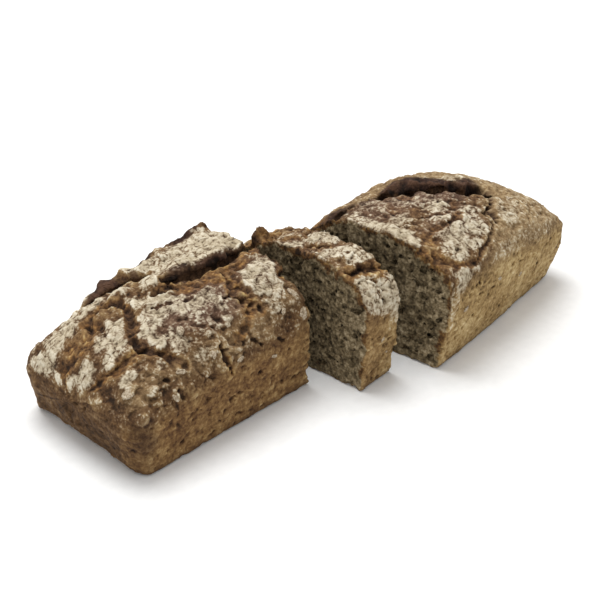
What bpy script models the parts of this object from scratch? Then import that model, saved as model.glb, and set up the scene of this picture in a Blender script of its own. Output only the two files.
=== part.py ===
"""Tin loaf of rye bread, cut across, with one slice standing between its two halves.

The loaf was baked as one piece and then sliced, so each cut piece is one closed solid that
stands on its own flat base. Lengths are in metres, +Z is up and +X runs along the loaf.
The origin is at the bottom centre of the box around all three pieces.
"""
import math
from typing import NamedTuple

import bmesh
import bpy
from mathutils import Matrix, Vector

# Lengths of the three pieces along the loaf, with the bread that the knife turns to crumbs
# between them. s runs from the left tin end, 0 to LOAF_LENGTH.
FRONT_LENGTH = 0.1215
KERF = 0.0008
SLICE_THICKNESS = 0.0275
REAR_LENGTH = 0.145
SLICE_START = FRONT_LENGTH + KERF
REAR_START = SLICE_START + SLICE_THICKNESS + KERF
LOAF_LENGTH = REAR_START + REAR_LENGTH

# Roundings that the tin and the oven leave.
BASE_EDGE_RADIUS = 0.005
CORNER_RADIUS = 0.008
CROWN_END_DROP = 0.007
CROWN_END_REACH = 0.012
END_LEAN_LEFT = 0.007
END_LEAN_RIGHT = 0.008
END_LEAN_REACH = 0.040
END_LEAN_HEIGHT = 0.034

# How far apart the lofted rings stand, and how many points each part of a ring has.
RING_SPACING = 0.0052
END_RING_OFFSETS = (0.0, 0.0008, 0.0025, 0.0052, 0.0090, 0.0130)
FLOOR_POINTS = 3
CORNER_POINTS = 3
WALL_POINTS = 7
TOP_POINTS = 16

CRUST_COLOUR = (0.28, 0.17, 0.08, 1.0)
SLICE_COLOUR = (0.22, 0.15, 0.09, 1.0)
CRUST_ROUGHNESS = 0.85
SMOOTH_ANGLE = math.radians(40)


class Station(NamedTuple):
    """Size of the loaf's section at one place along it."""

    at: float
    foot: float
    near: float
    far: float
    near_shoulder: float
    far_shoulder: float
    crown: float
    crown_y: float
    fullness: float


# The near side is -Y. Widths are from the loaf's middle plane, heights are from the base.
STATIONS = (
    Station(0.0000, 0.0460, 0.0495, 0.0480, 0.030, 0.024, 0.042, 0.000, 2.2),
    Station(0.0120, 0.0460, 0.0500, 0.0500, 0.032, 0.028, 0.052, 0.000, 2.2),
    Station(0.0300, 0.0460, 0.0505, 0.0510, 0.035, 0.031, 0.061, 0.002, 2.15),
    Station(0.0600, 0.0460, 0.0510, 0.0520, 0.038, 0.036, 0.069, 0.000, 2.1),
    Station(0.0900, 0.0460, 0.0510, 0.0520, 0.040, 0.042, 0.073, 0.004, 2.2),
    Station(0.1215, 0.0460, 0.0505, 0.0520, 0.042, 0.044, 0.074, 0.006, 2.2),
    Station(0.1223, 0.0465, 0.0520, 0.0520, 0.048, 0.046, 0.0765, -0.006, 2.4),
    Station(0.1498, 0.0465, 0.0535, 0.0525, 0.050, 0.048, 0.0765, 0.000, 2.45),
    Station(0.1506, 0.0470, 0.0570, 0.0525, 0.053, 0.048, 0.077, 0.006, 2.45),
    Station(0.1670, 0.0465, 0.0570, 0.0525, 0.053, 0.048, 0.078, 0.006, 2.4),
    Station(0.2120, 0.0460, 0.0565, 0.0535, 0.052, 0.047, 0.078, 0.008, 2.3),
    Station(0.2520, 0.0460, 0.0550, 0.0535, 0.048, 0.043, 0.0725, 0.006, 2.3),
    Station(0.2800, 0.0460, 0.0525, 0.0520, 0.042, 0.039, 0.062, 0.003, 2.2),
    Station(LOAF_LENGTH, 0.0455, 0.0505, 0.0495, 0.036, 0.034, 0.050, 0.000, 2.2),
)


class Seam(NamedTuple):
    """A tear (negative rise) or a raised lip along the crust, as points (s, y) seen from above."""

    route: tuple
    width: float
    rise: float


SEAMS = (
    Seam(((0.012, 0.030), (0.030, 0.026), (0.052, 0.030)), 0.011, -0.004),
    Seam(((0.058, 0.002), (0.080, -0.008), (0.102, -0.010), (0.124, -0.012)), 0.013, -0.005),
    Seam(((0.010, -0.006), (0.024, -0.010), (0.036, -0.024), (0.048, -0.044)), 0.011, -0.003),
    Seam(((0.122, -0.036), (0.150, -0.038), (0.162, -0.030)), 0.012, -0.003),
    Seam(((0.162, 0.020), (0.192, 0.030), (0.227, 0.028), (0.254, 0.014)), 0.014, -0.005),
    Seam(((0.252, 0.014), (0.264, -0.006), (0.268, -0.030)), 0.011, -0.004),
    Seam(((0.058, 0.036), (0.085, 0.034), (0.108, 0.030)), 0.011, 0.006),
    Seam(((0.122, 0.028), (0.130, 0.030)), 0.010, -0.004),
    Seam(((0.138, 0.024), (0.150, 0.026)), 0.010, 0.006),
)


class Piece(NamedTuple):
    """One cut piece: its stretch of the loaf and where its first face stands on the table."""

    name: str
    start: float
    length: float
    x: float
    y: float
    turn: float
    colour: tuple


# The front half's cut face stands at x = 0 of the layout, and the other pieces follow it.
PIECES = (
    Piece("front_half", 0.0, FRONT_LENGTH, -FRONT_LENGTH, 0.0, 0.0, CRUST_COLOUR),
    Piece("slice", SLICE_START, SLICE_THICKNESS, 0.0134, -0.0268, math.radians(2.55), SLICE_COLOUR),
    Piece(
        "rear_half", REAR_START, REAR_LENGTH, 0.0599, -0.0429,
        math.radians(4.54), CRUST_COLOUR,
    ),
)


def clear_scene():
    """Remove what the new file holds."""
    for obj in list(bpy.data.objects):
        bpy.data.objects.remove(obj, do_unlink=True)


def ease(start, end, value):
    """Smooth step from 0 at start to 1 at end."""
    part = min(max((value - start) / (end - start), 0.0), 1.0)
    return part * part * (3.0 - 2.0 * part)


def section_at(s):
    """Section sizes at s, eased between the two nearest stations."""
    s = min(max(s, STATIONS[0].at), STATIONS[-1].at)
    slopes = station_slopes()
    index = max(i for i in range(len(STATIONS) - 1) if STATIONS[i].at <= s)
    low, high = STATIONS[index], STATIONS[index + 1]
    span = high.at - low.at
    t = (s - low.at) / span
    values = []
    for field in range(len(low)):
        bend_low = slopes[index][field] * span
        bend_high = slopes[index + 1][field] * span
        values.append(
            (1 + 2 * t) * (1 - t) ** 2 * low[field]
            + t * (1 - t) ** 2 * bend_low
            + t * t * (3 - 2 * t) * high[field]
            + t * t * (t - 1) * bend_high
        )
    return Station(*values)


def station_slopes():
    """Slope of every section size at every station, with no overshoot between stations."""
    steps = []
    for low, high in zip(STATIONS, STATIONS[1:]):
        steps.append([(b - a) / (high.at - low.at) for a, b in zip(low, high)])
    slopes = [steps[0]]
    for before, after in zip(steps, steps[1:]):
        slopes.append([2 * a * b / (a + b) if a * b > 0 else 0.0 for a, b in zip(before, after)])
    slopes.append(steps[-1])
    return slopes


def end_inset(s, radius):
    """How far a rounding of this radius pulls in the outline near either tin end."""
    near_end = min(s, LOAF_LENGTH - s)
    reach = min(max(1.0 - near_end / radius, 0.0), 1.0)
    return radius * (1.0 - math.sqrt(1.0 - reach * reach))


def end_lean(s, z):
    """How far the tin's sloping end walls push a point outwards along the loaf."""
    rise = min(z / END_LEAN_HEIGHT, 1.0)
    fade = 1.0 - 0.7 * ease(END_LEAN_HEIGHT, 0.065, z)
    left = END_LEAN_LEFT * ease(END_LEAN_REACH, 0.0, s)
    right = END_LEAN_RIGHT * ease(LOAF_LENGTH - END_LEAN_REACH, LOAF_LENGTH, s)
    return (right - left) * rise * fade


def side_outline(sign, foot, width, shoulder, crown, crown_y, fullness, lift):
    """Half a section from the base to the crown, on the side of the sign (-1 near, +1 far)."""
    points = []
    inner = foot - BASE_EDGE_RADIUS
    for k in range(1, FLOOR_POINTS + 1):
        points.append((sign * inner * k / FLOOR_POINTS, lift))
    for k in range(1, CORNER_POINTS + 1):
        angle = math.pi / 2 * k / CORNER_POINTS
        y = inner + BASE_EDGE_RADIUS * math.sin(angle)
        points.append((sign * y, lift + BASE_EDGE_RADIUS * (1 - math.cos(angle))))
    wall_foot = lift + BASE_EDGE_RADIUS
    for k in range(1, WALL_POINTS + 1):
        t = k / WALL_POINTS
        y = foot + (width - foot) * math.sin(t * math.pi / 2)
        points.append((sign * y, wall_foot + (shoulder - wall_foot) * t))
    for k in range(1, TOP_POINTS + 1):
        angle = math.pi / 2 * k / TOP_POINTS
        y = crown_y + (sign * width - crown_y) * max(math.cos(angle), 0.0) ** (2 / fullness)
        points.append((y, shoulder + (crown - shoulder) * math.sin(angle) ** (2 / fullness)))
    return points


def outline_at(s):
    """Closed section outline at s as (y, z) points, from the middle of the base to the near side."""
    size = section_at(s)
    pull = end_inset(s, CORNER_RADIUS)
    drop = end_inset(s, CROWN_END_REACH) * CROWN_END_DROP / CROWN_END_REACH
    lift = end_inset(s, BASE_EDGE_RADIUS)
    foot = size.foot - pull
    crown = size.crown - drop
    near = side_outline(
        -1, foot, size.near - pull, size.near_shoulder, crown, size.crown_y, size.fullness, lift
    )
    far = side_outline(
        1, foot, size.far - pull, size.far_shoulder, crown, size.crown_y, size.fullness, lift
    )
    return [(0.0, lift)] + near + far[-2::-1]


def distance_to_route(route, s, y):
    """Distance in plan from a point to a route, and its distance from the nearer route end."""
    best = math.inf
    for (s0, y0), (s1, y1) in zip(route, route[1:]):
        ds, dy = s1 - s0, y1 - y0
        t = ((s - s0) * ds + (y - y0) * dy) / (ds * ds + dy * dy)
        t = min(max(t, 0.0), 1.0)
        best = min(best, math.hypot(s - s0 - t * ds, y - y0 - t * dy))
    return best


def seam_rise(s, y, z, shoulder):
    """Height that the tears and lips add to the crust at a point on the top."""
    on_top = ease(shoulder - 0.004, shoulder + 0.010, z)
    rise = 0.0
    for seam in SEAMS:
        reach = distance_to_route(seam.route, s, y) / (seam.width / 2)
        rise += seam.rise * ease(1.0, 0.0, reach)
    return rise * on_top


def ring_points(s):
    """Three-dimensional ring at s in loaf coordinates, with its tears and lips."""
    shoulder = section_at(s).near_shoulder
    ring = []
    for y, z in outline_at(s):
        lifted = z + seam_rise(s, y, z, shoulder)
        ring.append(Vector((s + end_lean(s, z), y, lifted)))
    return ring


def ring_places(piece):
    """Places along the loaf where the rings of one piece stand."""
    end = piece.start + piece.length
    first = [piece.start]
    last = [end]
    if piece.start == 0.0:
        first = list(END_RING_OFFSETS)
    if math.isclose(end, LOAF_LENGTH):
        last = [LOAF_LENGTH - offset for offset in reversed(END_RING_OFFSETS)]
    count = math.ceil((last[0] - first[-1]) / RING_SPACING)
    step = (last[0] - first[-1]) / count
    middle = [first[-1] + step * k for k in range(1, count)]
    return first + middle + last


def add_ring(mesh, points):
    """Add one closed ring of edges and return them."""
    verts = [mesh.verts.new(point) for point in points]
    return [mesh.edges.new((a, b)) for a, b in zip(verts, verts[1:] + verts[:1])]


def close_with_rungs(mesh, ring):
    """Close a leaning tin end with level strips from its near side to its far side."""
    verts = []
    for edge in ring:
        verts.append(edge.verts[0])
    count = len(verts)
    for k in range(count // 2):
        corners = [verts[k], verts[k + 1], verts[count - k - 1], verts[-k]]
        unique = list(dict.fromkeys(corners))
        mesh.faces.new(unique)


def build_mesh(piece):
    """Loft one piece from its rings, close it and place it in the layout."""
    mesh = bmesh.new()
    rings = [add_ring(mesh, ring_points(s)) for s in ring_places(piece)]
    for ring, following in zip(rings, rings[1:]):
        bmesh.ops.bridge_loops(mesh, edges=ring + following)
    for ring, is_tin_end in (
        (rings[0], piece.start == 0.0),
        (rings[-1], math.isclose(piece.start + piece.length, LOAF_LENGTH)),
    ):
        if is_tin_end:
            close_with_rungs(mesh, ring)
        else:
            bmesh.ops.contextual_create(mesh, geom=ring)
    bmesh.ops.recalc_face_normals(mesh, faces=mesh.faces)
    bmesh.ops.triangulate(mesh, faces=mesh.faces)
    to_table = Matrix.Translation((piece.x, piece.y, 0.0)) @ Matrix.Rotation(piece.turn, 4, "Z")
    bmesh.ops.transform(
        mesh, matrix=to_table @ Matrix.Translation((-piece.start, 0.0, 0.0)), verts=mesh.verts
    )
    return mesh


def crumb_material(name, colour):
    """Matt baked bread."""
    material = bpy.data.materials.new(name)
    material.use_nodes = True
    shader = material.node_tree.nodes["Principled BSDF"]
    shader.inputs["Base Color"].default_value = colour
    shader.inputs["Roughness"].default_value = CRUST_ROUGHNESS
    shader.inputs["Metallic"].default_value = 0.0
    return material


def layout_centre(meshes):
    """Bottom centre of the box around all pieces."""
    points = [vert.co for mesh in meshes for vert in mesh.verts]
    low = Vector(min(point[axis] for point in points) for axis in range(3))
    high = Vector(max(point[axis] for point in points) for axis in range(3))
    return Vector(((low.x + high.x) / 2, (low.y + high.y) / 2, low.z))


def build():
    """Make the three pieces around the shared origin."""
    clear_scene()
    meshes = [build_mesh(piece) for piece in PIECES]
    shift = -layout_centre(meshes)
    for piece, mesh in zip(PIECES, meshes):
        bmesh.ops.translate(mesh, vec=shift, verts=mesh.verts)
        data = bpy.data.meshes.new(piece.name)
        mesh.to_mesh(data)
        mesh.free()
        data.shade_smooth()
        data.set_sharp_from_angle(angle=SMOOTH_ANGLE)
        data.materials.append(crumb_material(piece.name + "_crust", piece.colour))
        bpy.context.scene.collection.objects.link(bpy.data.objects.new(piece.name, data))


build()
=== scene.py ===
"""Rye loaf baked in a tin, cut across, with one slice standing between its two halves.

The crust and crumb are worked out in the loaf's own coordinates, in millimetres: s runs along the
loaf from its left tin end, y across it (the near side is negative) and z up from the base. Tears
and flour therefore run on from piece to piece, as they did before the loaf was cut. Each cut piece
is one closed mesh, drawn as a level surface of a solid field, so that crust plates can overhang.
"""
import itertools
import logging
import math
from dataclasses import dataclass, field
from enum import Enum

import bpy
import numpy as np
from mathutils import Matrix, Vector


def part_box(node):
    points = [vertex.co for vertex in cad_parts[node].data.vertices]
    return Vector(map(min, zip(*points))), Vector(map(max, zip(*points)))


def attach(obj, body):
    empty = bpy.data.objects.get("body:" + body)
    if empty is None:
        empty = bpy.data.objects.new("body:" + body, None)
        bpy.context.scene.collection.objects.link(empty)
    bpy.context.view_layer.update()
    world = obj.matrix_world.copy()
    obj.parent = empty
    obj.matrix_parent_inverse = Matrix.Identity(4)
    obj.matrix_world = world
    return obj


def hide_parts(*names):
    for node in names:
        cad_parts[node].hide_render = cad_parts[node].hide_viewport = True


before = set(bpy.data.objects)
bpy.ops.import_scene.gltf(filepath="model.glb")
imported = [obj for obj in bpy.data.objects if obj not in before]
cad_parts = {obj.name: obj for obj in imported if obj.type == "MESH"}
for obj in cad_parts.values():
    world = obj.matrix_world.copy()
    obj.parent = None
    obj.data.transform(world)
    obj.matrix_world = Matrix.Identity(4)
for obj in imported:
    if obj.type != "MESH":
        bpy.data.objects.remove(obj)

MM = 0.001
BODY = "root"
LOG = logging.getLogger("tin_loaf")
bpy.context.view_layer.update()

Array = np.ndarray


# ---------------------------------------------------------------------------------------------
# Small mathematics
# ---------------------------------------------------------------------------------------------


def ease(start: float | Array, end: float | Array, value: float | Array) -> Array:
    """Smooth step.

    Args:
        start: Value where the step is 0.
        end: Value where the step is 1.
        value: Where to read the step.

    Returns:
        The step, from 0 to 1.
    """
    part = np.clip((value - start) / (end - start), 0.0, 1.0)
    return part * part * (3.0 - 2.0 * part)


def soft_min(first: Array, second: Array, blend: float) -> Array:
    """Smaller of two fields, rounded where they meet.

    Args:
        first: One field.
        second: The other field.
        blend: Width of the rounding, in the fields' unit.

    Returns:
        The joined field.
    """
    near = np.clip(blend - np.abs(first - second), 0.0, None) / blend
    return np.minimum(first, second) - near * near * blend * 0.25


class Grain:
    """Repeatable three-dimensional noise, drawn from one shuffled table."""

    SIZE = 256

    def __init__(self, seed: int) -> None:
        """Shuffle the table.

        Args:
            seed: Number that fixes the pattern.
        """
        draw = np.random.default_rng(seed)
        order = draw.permutation(self.SIZE)
        self.order = np.concatenate([order, order, order]).astype(np.int32)
        arrows = draw.normal(size=(self.SIZE, 3))
        self.arrows = (arrows / np.linalg.norm(arrows, axis=1)[:, None]).astype(np.float32)
        self.spots = draw.random((self.SIZE, 3)).astype(np.float32)
        self.tags = draw.random(self.SIZE).astype(np.float32)

    def corner(self, cells: Array) -> Array:
        """Table entry of each lattice cell."""
        x, y, z = (cells[:, axis] & (self.SIZE - 1) for axis in range(3))
        return self.order[self.order[self.order[x] + y] + z]

    def smooth(self, points: Array, size: float | tuple) -> Array:
        """Gradient noise.

        Args:
            points: Places, one row each.
            size: Feature size, the same on all axes or one for each.

        Returns:
            Values from about -1 to 1.
        """
        scaled = points / np.asarray(size, np.float32)
        cells = np.floor(scaled).astype(np.int32)
        part = (scaled - cells).astype(np.float32)
        fade = part * part * part * (part * (part * 6 - 15) + 10)
        total = np.zeros(len(points), np.float32)
        for step in itertools.product((0, 1), repeat=3):
            offset = np.array(step, np.int32)
            arrow = self.arrows[self.corner(cells + offset)]
            weight = np.prod(np.where(offset == 1, fade, 1 - fade), axis=1)
            total += weight * np.einsum("ij,ij->i", arrow, part - offset.astype(np.float32))
        return total * 1.6

    def layered(self, points: Array, size: float | tuple, layers: int) -> Array:
        """Gradient noise with finer layers on top.

        Args:
            points: Places, one row each.
            size: Feature size of the first layer.
            layers: How many layers, each half as large and half as strong as the last.

        Returns:
            Values from about -1 to 1.
        """
        size = np.asarray(size, np.float32)
        total = np.zeros(len(points), np.float32)
        for layer in range(layers):
            total += self.smooth(points + 37.7 * layer, size / 2**layer) / 2**layer
        return total

    def cells(self, points: Array, size: float | tuple) -> tuple[Array, Array, Array]:
        """Scattered spots, one to each lattice cell.

        Args:
            points: Places, one row each.
            size: Cell size, the same on all axes or one for each.

        Returns:
            Distance to the nearest spot, to the second nearest, both in cell sizes, and a number
            from 0 to 1 that belongs to the nearest spot.
        """
        scaled = (points / np.asarray(size, np.float32)).astype(np.float32)
        base = np.floor(scaled).astype(np.int32)
        first = np.full(len(points), 9.0, np.float32)
        second = first.copy()
        tag = np.zeros(len(points), np.float32)
        for step in itertools.product((-1, 0, 1), repeat=3):
            cell = base + np.array(step, np.int32)
            entry = self.corner(cell)
            gap = scaled - cell - self.spots[entry]
            reach = np.einsum("ij,ij->i", gap, gap)
            closer = reach < first
            second = np.where(closer, first, np.minimum(second, reach))
            tag = np.where(closer, self.tags[entry], tag)
            first = np.where(closer, reach, first)
        return np.sqrt(first), np.sqrt(second), tag


# ---------------------------------------------------------------------------------------------
# The whole loaf, before it was cut
# ---------------------------------------------------------------------------------------------


@dataclass(frozen=True)
class Station:
    """Size of the loaf's section at one place along it, in millimetres."""

    at: float
    foot: float
    near: float
    far: float
    near_shoulder: float
    far_shoulder: float
    crown: float
    crown_y: float
    fullness: float

    def sizes(self) -> tuple[float, ...]:
        """All sizes after the place, in order."""
        return tuple(getattr(self, name) for name in list(self.__dataclass_fields__)[1:])


class Face(Enum):
    """Which face of the loaf a route or a patch lies on."""

    TOP = "top"
    NEAR = "near"
    FAR = "far"


@dataclass
class TinLoaf:
    """The loaf's outer form, held as a table of radii around a line along the loaf.

    Lengths are in millimetres. The near side is at negative y, and s runs along the loaf.
    """

    front: float = 121.5
    kerf: float = 0.8
    slice: float = 27.5
    rear: float = 145.0
    base_edge: float = 1.8
    corner: float = 8.0
    crown_end_drop: float = 10.0
    crown_end_reach: float = 13.0
    lean_left: float = 7.0
    lean_right: float = 8.0
    lean_reach: float = 40.0
    lean_height: float = 26.0
    lean_foot: float = 0.3
    lean_fade: float = 0.7
    lean_fade_height: float = 65.0
    lean_rounds: int = 3
    axis_height: float = 30.0
    step: float = 0.5
    turns: int = 720
    top_margin: int = 10
    base_points: int = 4
    edge_points: int = 7
    wall_points: int = 25
    dome_points: int = 50
    stations: tuple[Station, ...] = (
        Station(0.0, 48.5, 49.5, 48.0, 30, 24, 42.0, 0, 2.2),
        Station(12.0, 48.5, 50.0, 50.0, 32, 28, 52.0, 0, 2.2),
        Station(30.0, 48.5, 50.5, 51.0, 35, 31, 61.0, 2, 2.15),
        Station(60.0, 48.5, 51.0, 52.0, 38, 36, 69.0, 0, 2.1),
        Station(90.0, 48.5, 51.0, 52.0, 40, 42, 73.0, 4, 2.2),
        Station(121.5, 48.5, 50.5, 52.0, 42, 44, 73.5, 6, 2.15),
        Station(122.3, 49.0, 52.0, 52.0, 46, 45, 74.5, -10, 2.3),
        Station(149.8, 49.0, 53.5, 52.5, 47, 46, 74.0, -8, 2.3),
        Station(150.6, 50.5, 57.0, 52.5, 53, 45, 76.5, 6, 2.35),
        Station(167.0, 50.5, 57.0, 52.5, 53, 45, 77.5, 6, 2.35),
        Station(212.0, 49.0, 56.5, 53.5, 52, 47, 78.0, 8, 2.3),
        Station(252.0, 46.5, 55.0, 53.5, 48, 43, 72.5, 6, 2.3),
        Station(280.0, 45.0, 52.5, 52.0, 42, 39, 62.0, 3, 2.2),
        Station(295.6, 44.0, 50.5, 49.5, 36, 34, 50.0, 0, 2.2),
    )
    length: float = field(init=False)
    places: Array = field(init=False)
    angles: Array = field(init=False)
    radius: Array = field(init=False)
    facing: Array = field(init=False)
    points: Array = field(init=False)

    def __post_init__(self) -> None:
        """Work out the table."""
        self.length = self.front + self.slice + self.rear + 2 * self.kerf
        self.places = np.arange(0.0, self.length + self.step, self.step)
        self.angles = np.linspace(-0.5 * math.pi, 1.5 * math.pi, self.turns + 1)
        self.radius = np.array([self.ring(s) for s in self.places], np.float32)
        slope = np.gradient(self.radius, self.angles, axis=1)
        self.facing = self.radius / np.hypot(self.radius, slope)
        y = self.radius * np.cos(self.angles)
        z = self.axis_height + self.radius * np.sin(self.angles)
        s = np.broadcast_to(self.places[:, None], y.shape)
        self.points = np.stack([s + self.lean(s, z), y, z], axis=-1).astype(np.float32)

    def sizes_at(self, s: float) -> list[float]:
        """Section sizes at s, eased between the two nearest stations.

        Args:
            s: Place along the loaf.

        Returns:
            The sizes that Station.sizes lists.
        """
        at = np.array([station.at for station in self.stations])
        sizes = np.array([station.sizes() for station in self.stations], float)
        steps = np.diff(sizes, axis=0) / np.diff(at)[:, None]
        before, after = steps[:-1], steps[1:]
        total = np.where(before * after > 0, before + after, 1.0)
        inner = np.where(before * after > 0, 2 * before * after / total, 0.0)
        slopes = np.vstack([steps[:1], inner, steps[-1:]])
        s = min(max(s, at[0]), at[-1])
        low = int(min(max(np.searchsorted(at, s) - 1, 0), len(at) - 2))
        span = at[low + 1] - at[low]
        t = (s - at[low]) / span
        eased = (1 + 2 * t) * (1 - t) ** 2 * sizes[low] + t * (1 - t) ** 2 * slopes[low] * span
        eased += t * t * (3 - 2 * t) * sizes[low + 1] + t * t * (t - 1) * slopes[low + 1] * span
        return list(eased)

    def end_inset(self, s: float, radius: float) -> float:
        """How far a rounding of this radius pulls in the outline near either tin end."""
        reach = min(max(1.0 - min(s, self.length - s) / radius, 0.0), 1.0)
        return radius * (1.0 - math.sqrt(1.0 - reach * reach))

    def lean(self, s: Array, z: Array) -> Array:
        """How far the sloping tin ends push points outwards along the loaf."""
        rise = self.lean_foot + (1.0 - self.lean_foot) * np.clip(z / self.lean_height, 0.0, 1.0)
        fade = 1.0 - self.lean_fade * ease(self.lean_height, self.lean_fade_height, z)
        left = self.lean_left * ease(self.lean_reach, 0.0, s)
        right = self.lean_right * ease(self.length - self.lean_reach, self.length, s)
        return (right - left) * rise * fade

    def half_outline(self, sign: int, sizes: list[float], s: float) -> list[tuple[float, float]]:
        """Half a section, from the base's middle to the crown.

        Args:
            sign: -1 for the near half, 1 for the far half.
            sizes: The section's sizes.
            s: Place along the loaf.

        Returns:
            Points (y, z).
        """
        foot, near, far, near_shoulder, far_shoulder, crown, crown_y, fullness = sizes
        pull = self.end_inset(s, self.corner)
        lift = self.end_inset(s, self.base_edge)
        crown -= self.end_inset(s, self.crown_end_reach) * self.crown_end_drop / self.crown_end_reach
        foot -= pull
        width = (near if sign < 0 else far) - pull
        shoulder = near_shoulder if sign < 0 else far_shoulder
        inner = foot - self.base_edge
        wall_foot = lift + self.base_edge
        outline = [(sign * inner * t, lift) for t in np.linspace(0.0, 1.0, self.base_points)]
        for angle in np.linspace(0.0, math.pi / 2, self.edge_points)[1:]:
            rise = lift + self.base_edge * (1 - math.cos(angle))
            outline.append((sign * (inner + self.base_edge * math.sin(angle)), rise))
        for t in np.linspace(0.0, 1.0, self.wall_points)[1:]:
            y = foot + (width - foot) * math.sin(t * math.pi / 2)
            outline.append((sign * y, wall_foot + (shoulder - wall_foot) * t))
        for angle in np.linspace(0.0, math.pi / 2, self.dome_points)[1:]:
            y = crown_y + (sign * width - crown_y) * max(math.cos(angle), 0.0) ** (2 / fullness)
            z = shoulder + (crown - shoulder) * math.sin(angle) ** (2 / fullness)
            outline.append((y, z))
        return outline

    def ring(self, s: float) -> Array:
        """Radius of the section at s, at every angle of the table."""
        sizes = self.sizes_at(s)
        near = self.half_outline(-1, sizes, s)
        far = self.half_outline(1, sizes, s)
        outline = np.array(far + near[-2:0:-1])
        y, z = outline[:, 0], outline[:, 1] - self.axis_height
        angle = np.unwrap(np.arctan2(z, y))
        angle += -0.5 * math.pi - angle[0]
        angle = np.append(angle, angle[0] + 2 * math.pi)
        reach = np.append(np.hypot(y, z), np.hypot(y[0], z[0]))
        slot = np.clip(np.searchsorted(angle, self.angles, side="right") - 1, 0, len(angle) - 2)
        before, after = self.angles - angle[slot], angle[slot + 1] - self.angles
        r0, r1 = reach[slot], reach[slot + 1]
        level = r0 * np.sin(before) + r1 * np.sin(after)
        return r0 * r1 * np.sin(before + after) / np.maximum(level, 1e-6)

    def locate(self, points: Array) -> tuple[Array, Array, Array]:
        """Find points in the table.

        Args:
            points: Places (x, y, z) in the uncut loaf, where x is s plus the ends' lean.

        Returns:
            Depth under the smooth crust in millimetres, and the table's row and column.
        """
        x, y, z = points[:, 0], points[:, 1], points[:, 2]
        s = x
        for _ in range(self.lean_rounds):
            s = x - self.lean(s, z)
        row = np.clip(s / self.step, 0, len(self.places) - 1.001)
        turn = np.mod(np.arctan2(z - self.axis_height, y) + 0.5 * math.pi, 2 * math.pi)
        column = turn / (2 * math.pi) * self.turns
        radius = read_table(self.radius, row, column)
        facing = read_table(self.facing, row, column)
        depth = (radius - np.hypot(y, z - self.axis_height)) * facing
        return depth, row, column

    def surface_point(self, face: Face, s: float, across: float) -> Array:
        """Point on the smooth crust.

        Args:
            face: Face that the point lies on.
            s: Place along the loaf.
            across: y on the top, or height on a side.

        Returns:
            The point (x, y, z).
        """
        row = self.points[int(round(min(max(s, 0.0), self.length) / self.step))]
        quarter = self.turns // 4
        if face is Face.TOP:
            part = row[quarter + self.top_margin : 3 * quarter - self.top_margin][::-1]
            key = 1
        elif face is Face.FAR:
            part = row[quarter // 2 : 2 * quarter]
            key = 2
        else:
            part = row[2 * quarter : 4 * quarter - quarter // 2][::-1]
            key = 2
        return np.array([np.interp(across, part[:, key], part[:, axis]) for axis in range(3)])


def read_table(table: Array, row: Array, column: Array) -> Array:
    """Read a table between its entries.

    Args:
        table: Two-dimensional table.
        row: Rows, with fractions.
        column: Columns, with fractions.

    Returns:
        The values there.
    """
    i = np.clip(row.astype(np.int32), 0, table.shape[0] - 2)
    j = np.clip(column.astype(np.int32), 0, table.shape[1] - 2)
    u, v = row - i, column - j
    low = table[i, j] * (1 - v) + table[i, j + 1] * v
    high = table[i + 1, j] * (1 - v) + table[i + 1, j + 1] * v
    return low * (1 - u) + high * u


# ---------------------------------------------------------------------------------------------
# What the oven and the flour did to the crust
# ---------------------------------------------------------------------------------------------


@dataclass(frozen=True)
class Tear:
    """A crack along the crust, in millimetres.

    Route points are (s, y) on the top and (s, height) on a side. Under is how far the far bank
    overhangs the crack, and rust is how far torn, rusty crust spreads beside it.
    """

    route: tuple[tuple[float, float], ...]
    width: float
    depth: float
    lip: float = 0.8
    face: Face = Face.TOP
    under: float = 0.0
    rust: float = 0.0


@dataclass(frozen=True)
class Patch:
    """An oval area of the crust, such as a floured plate. Sizes are in millimetres."""

    s: float
    across: float
    long: float
    wide: float
    strength: float = 1.0
    face: Face = Face.TOP


@dataclass(frozen=True)
class Ear:
    """A thin raised edge of crust beside a tear: route points are (s, y, height), in millimetres."""

    route: tuple[tuple[float, float, float], ...]
    thickness: float
    lean: float = 0.0


@dataclass(frozen=True)
class Scaling:
    """A layer of small scales of crust, each a little higher or lower, with drying cracks between.

    The size, shift, step and crack depths are in millimetres, and widths are shares of the size. The
    patchy crack depth comes and goes over the crust.
    """

    size: float
    shift: float
    step: float
    step_width: float
    wall_share: float
    crack_width: float
    crack: float
    patchy_crack: float


@dataclass(frozen=True)
class Pitting:
    """A layer of pits and grains in the walls, one in each cell whose number is past a limit.

    The size, shift, pit depth and grain height are in millimetres, and reaches are shares of the size.
    """

    size: float | tuple[float, float, float]
    shift: float
    pit: float
    pit_reach: tuple[float, float]
    pit_above: float
    grain: float
    grain_reach: tuple[float, float]
    grain_below: float


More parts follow.
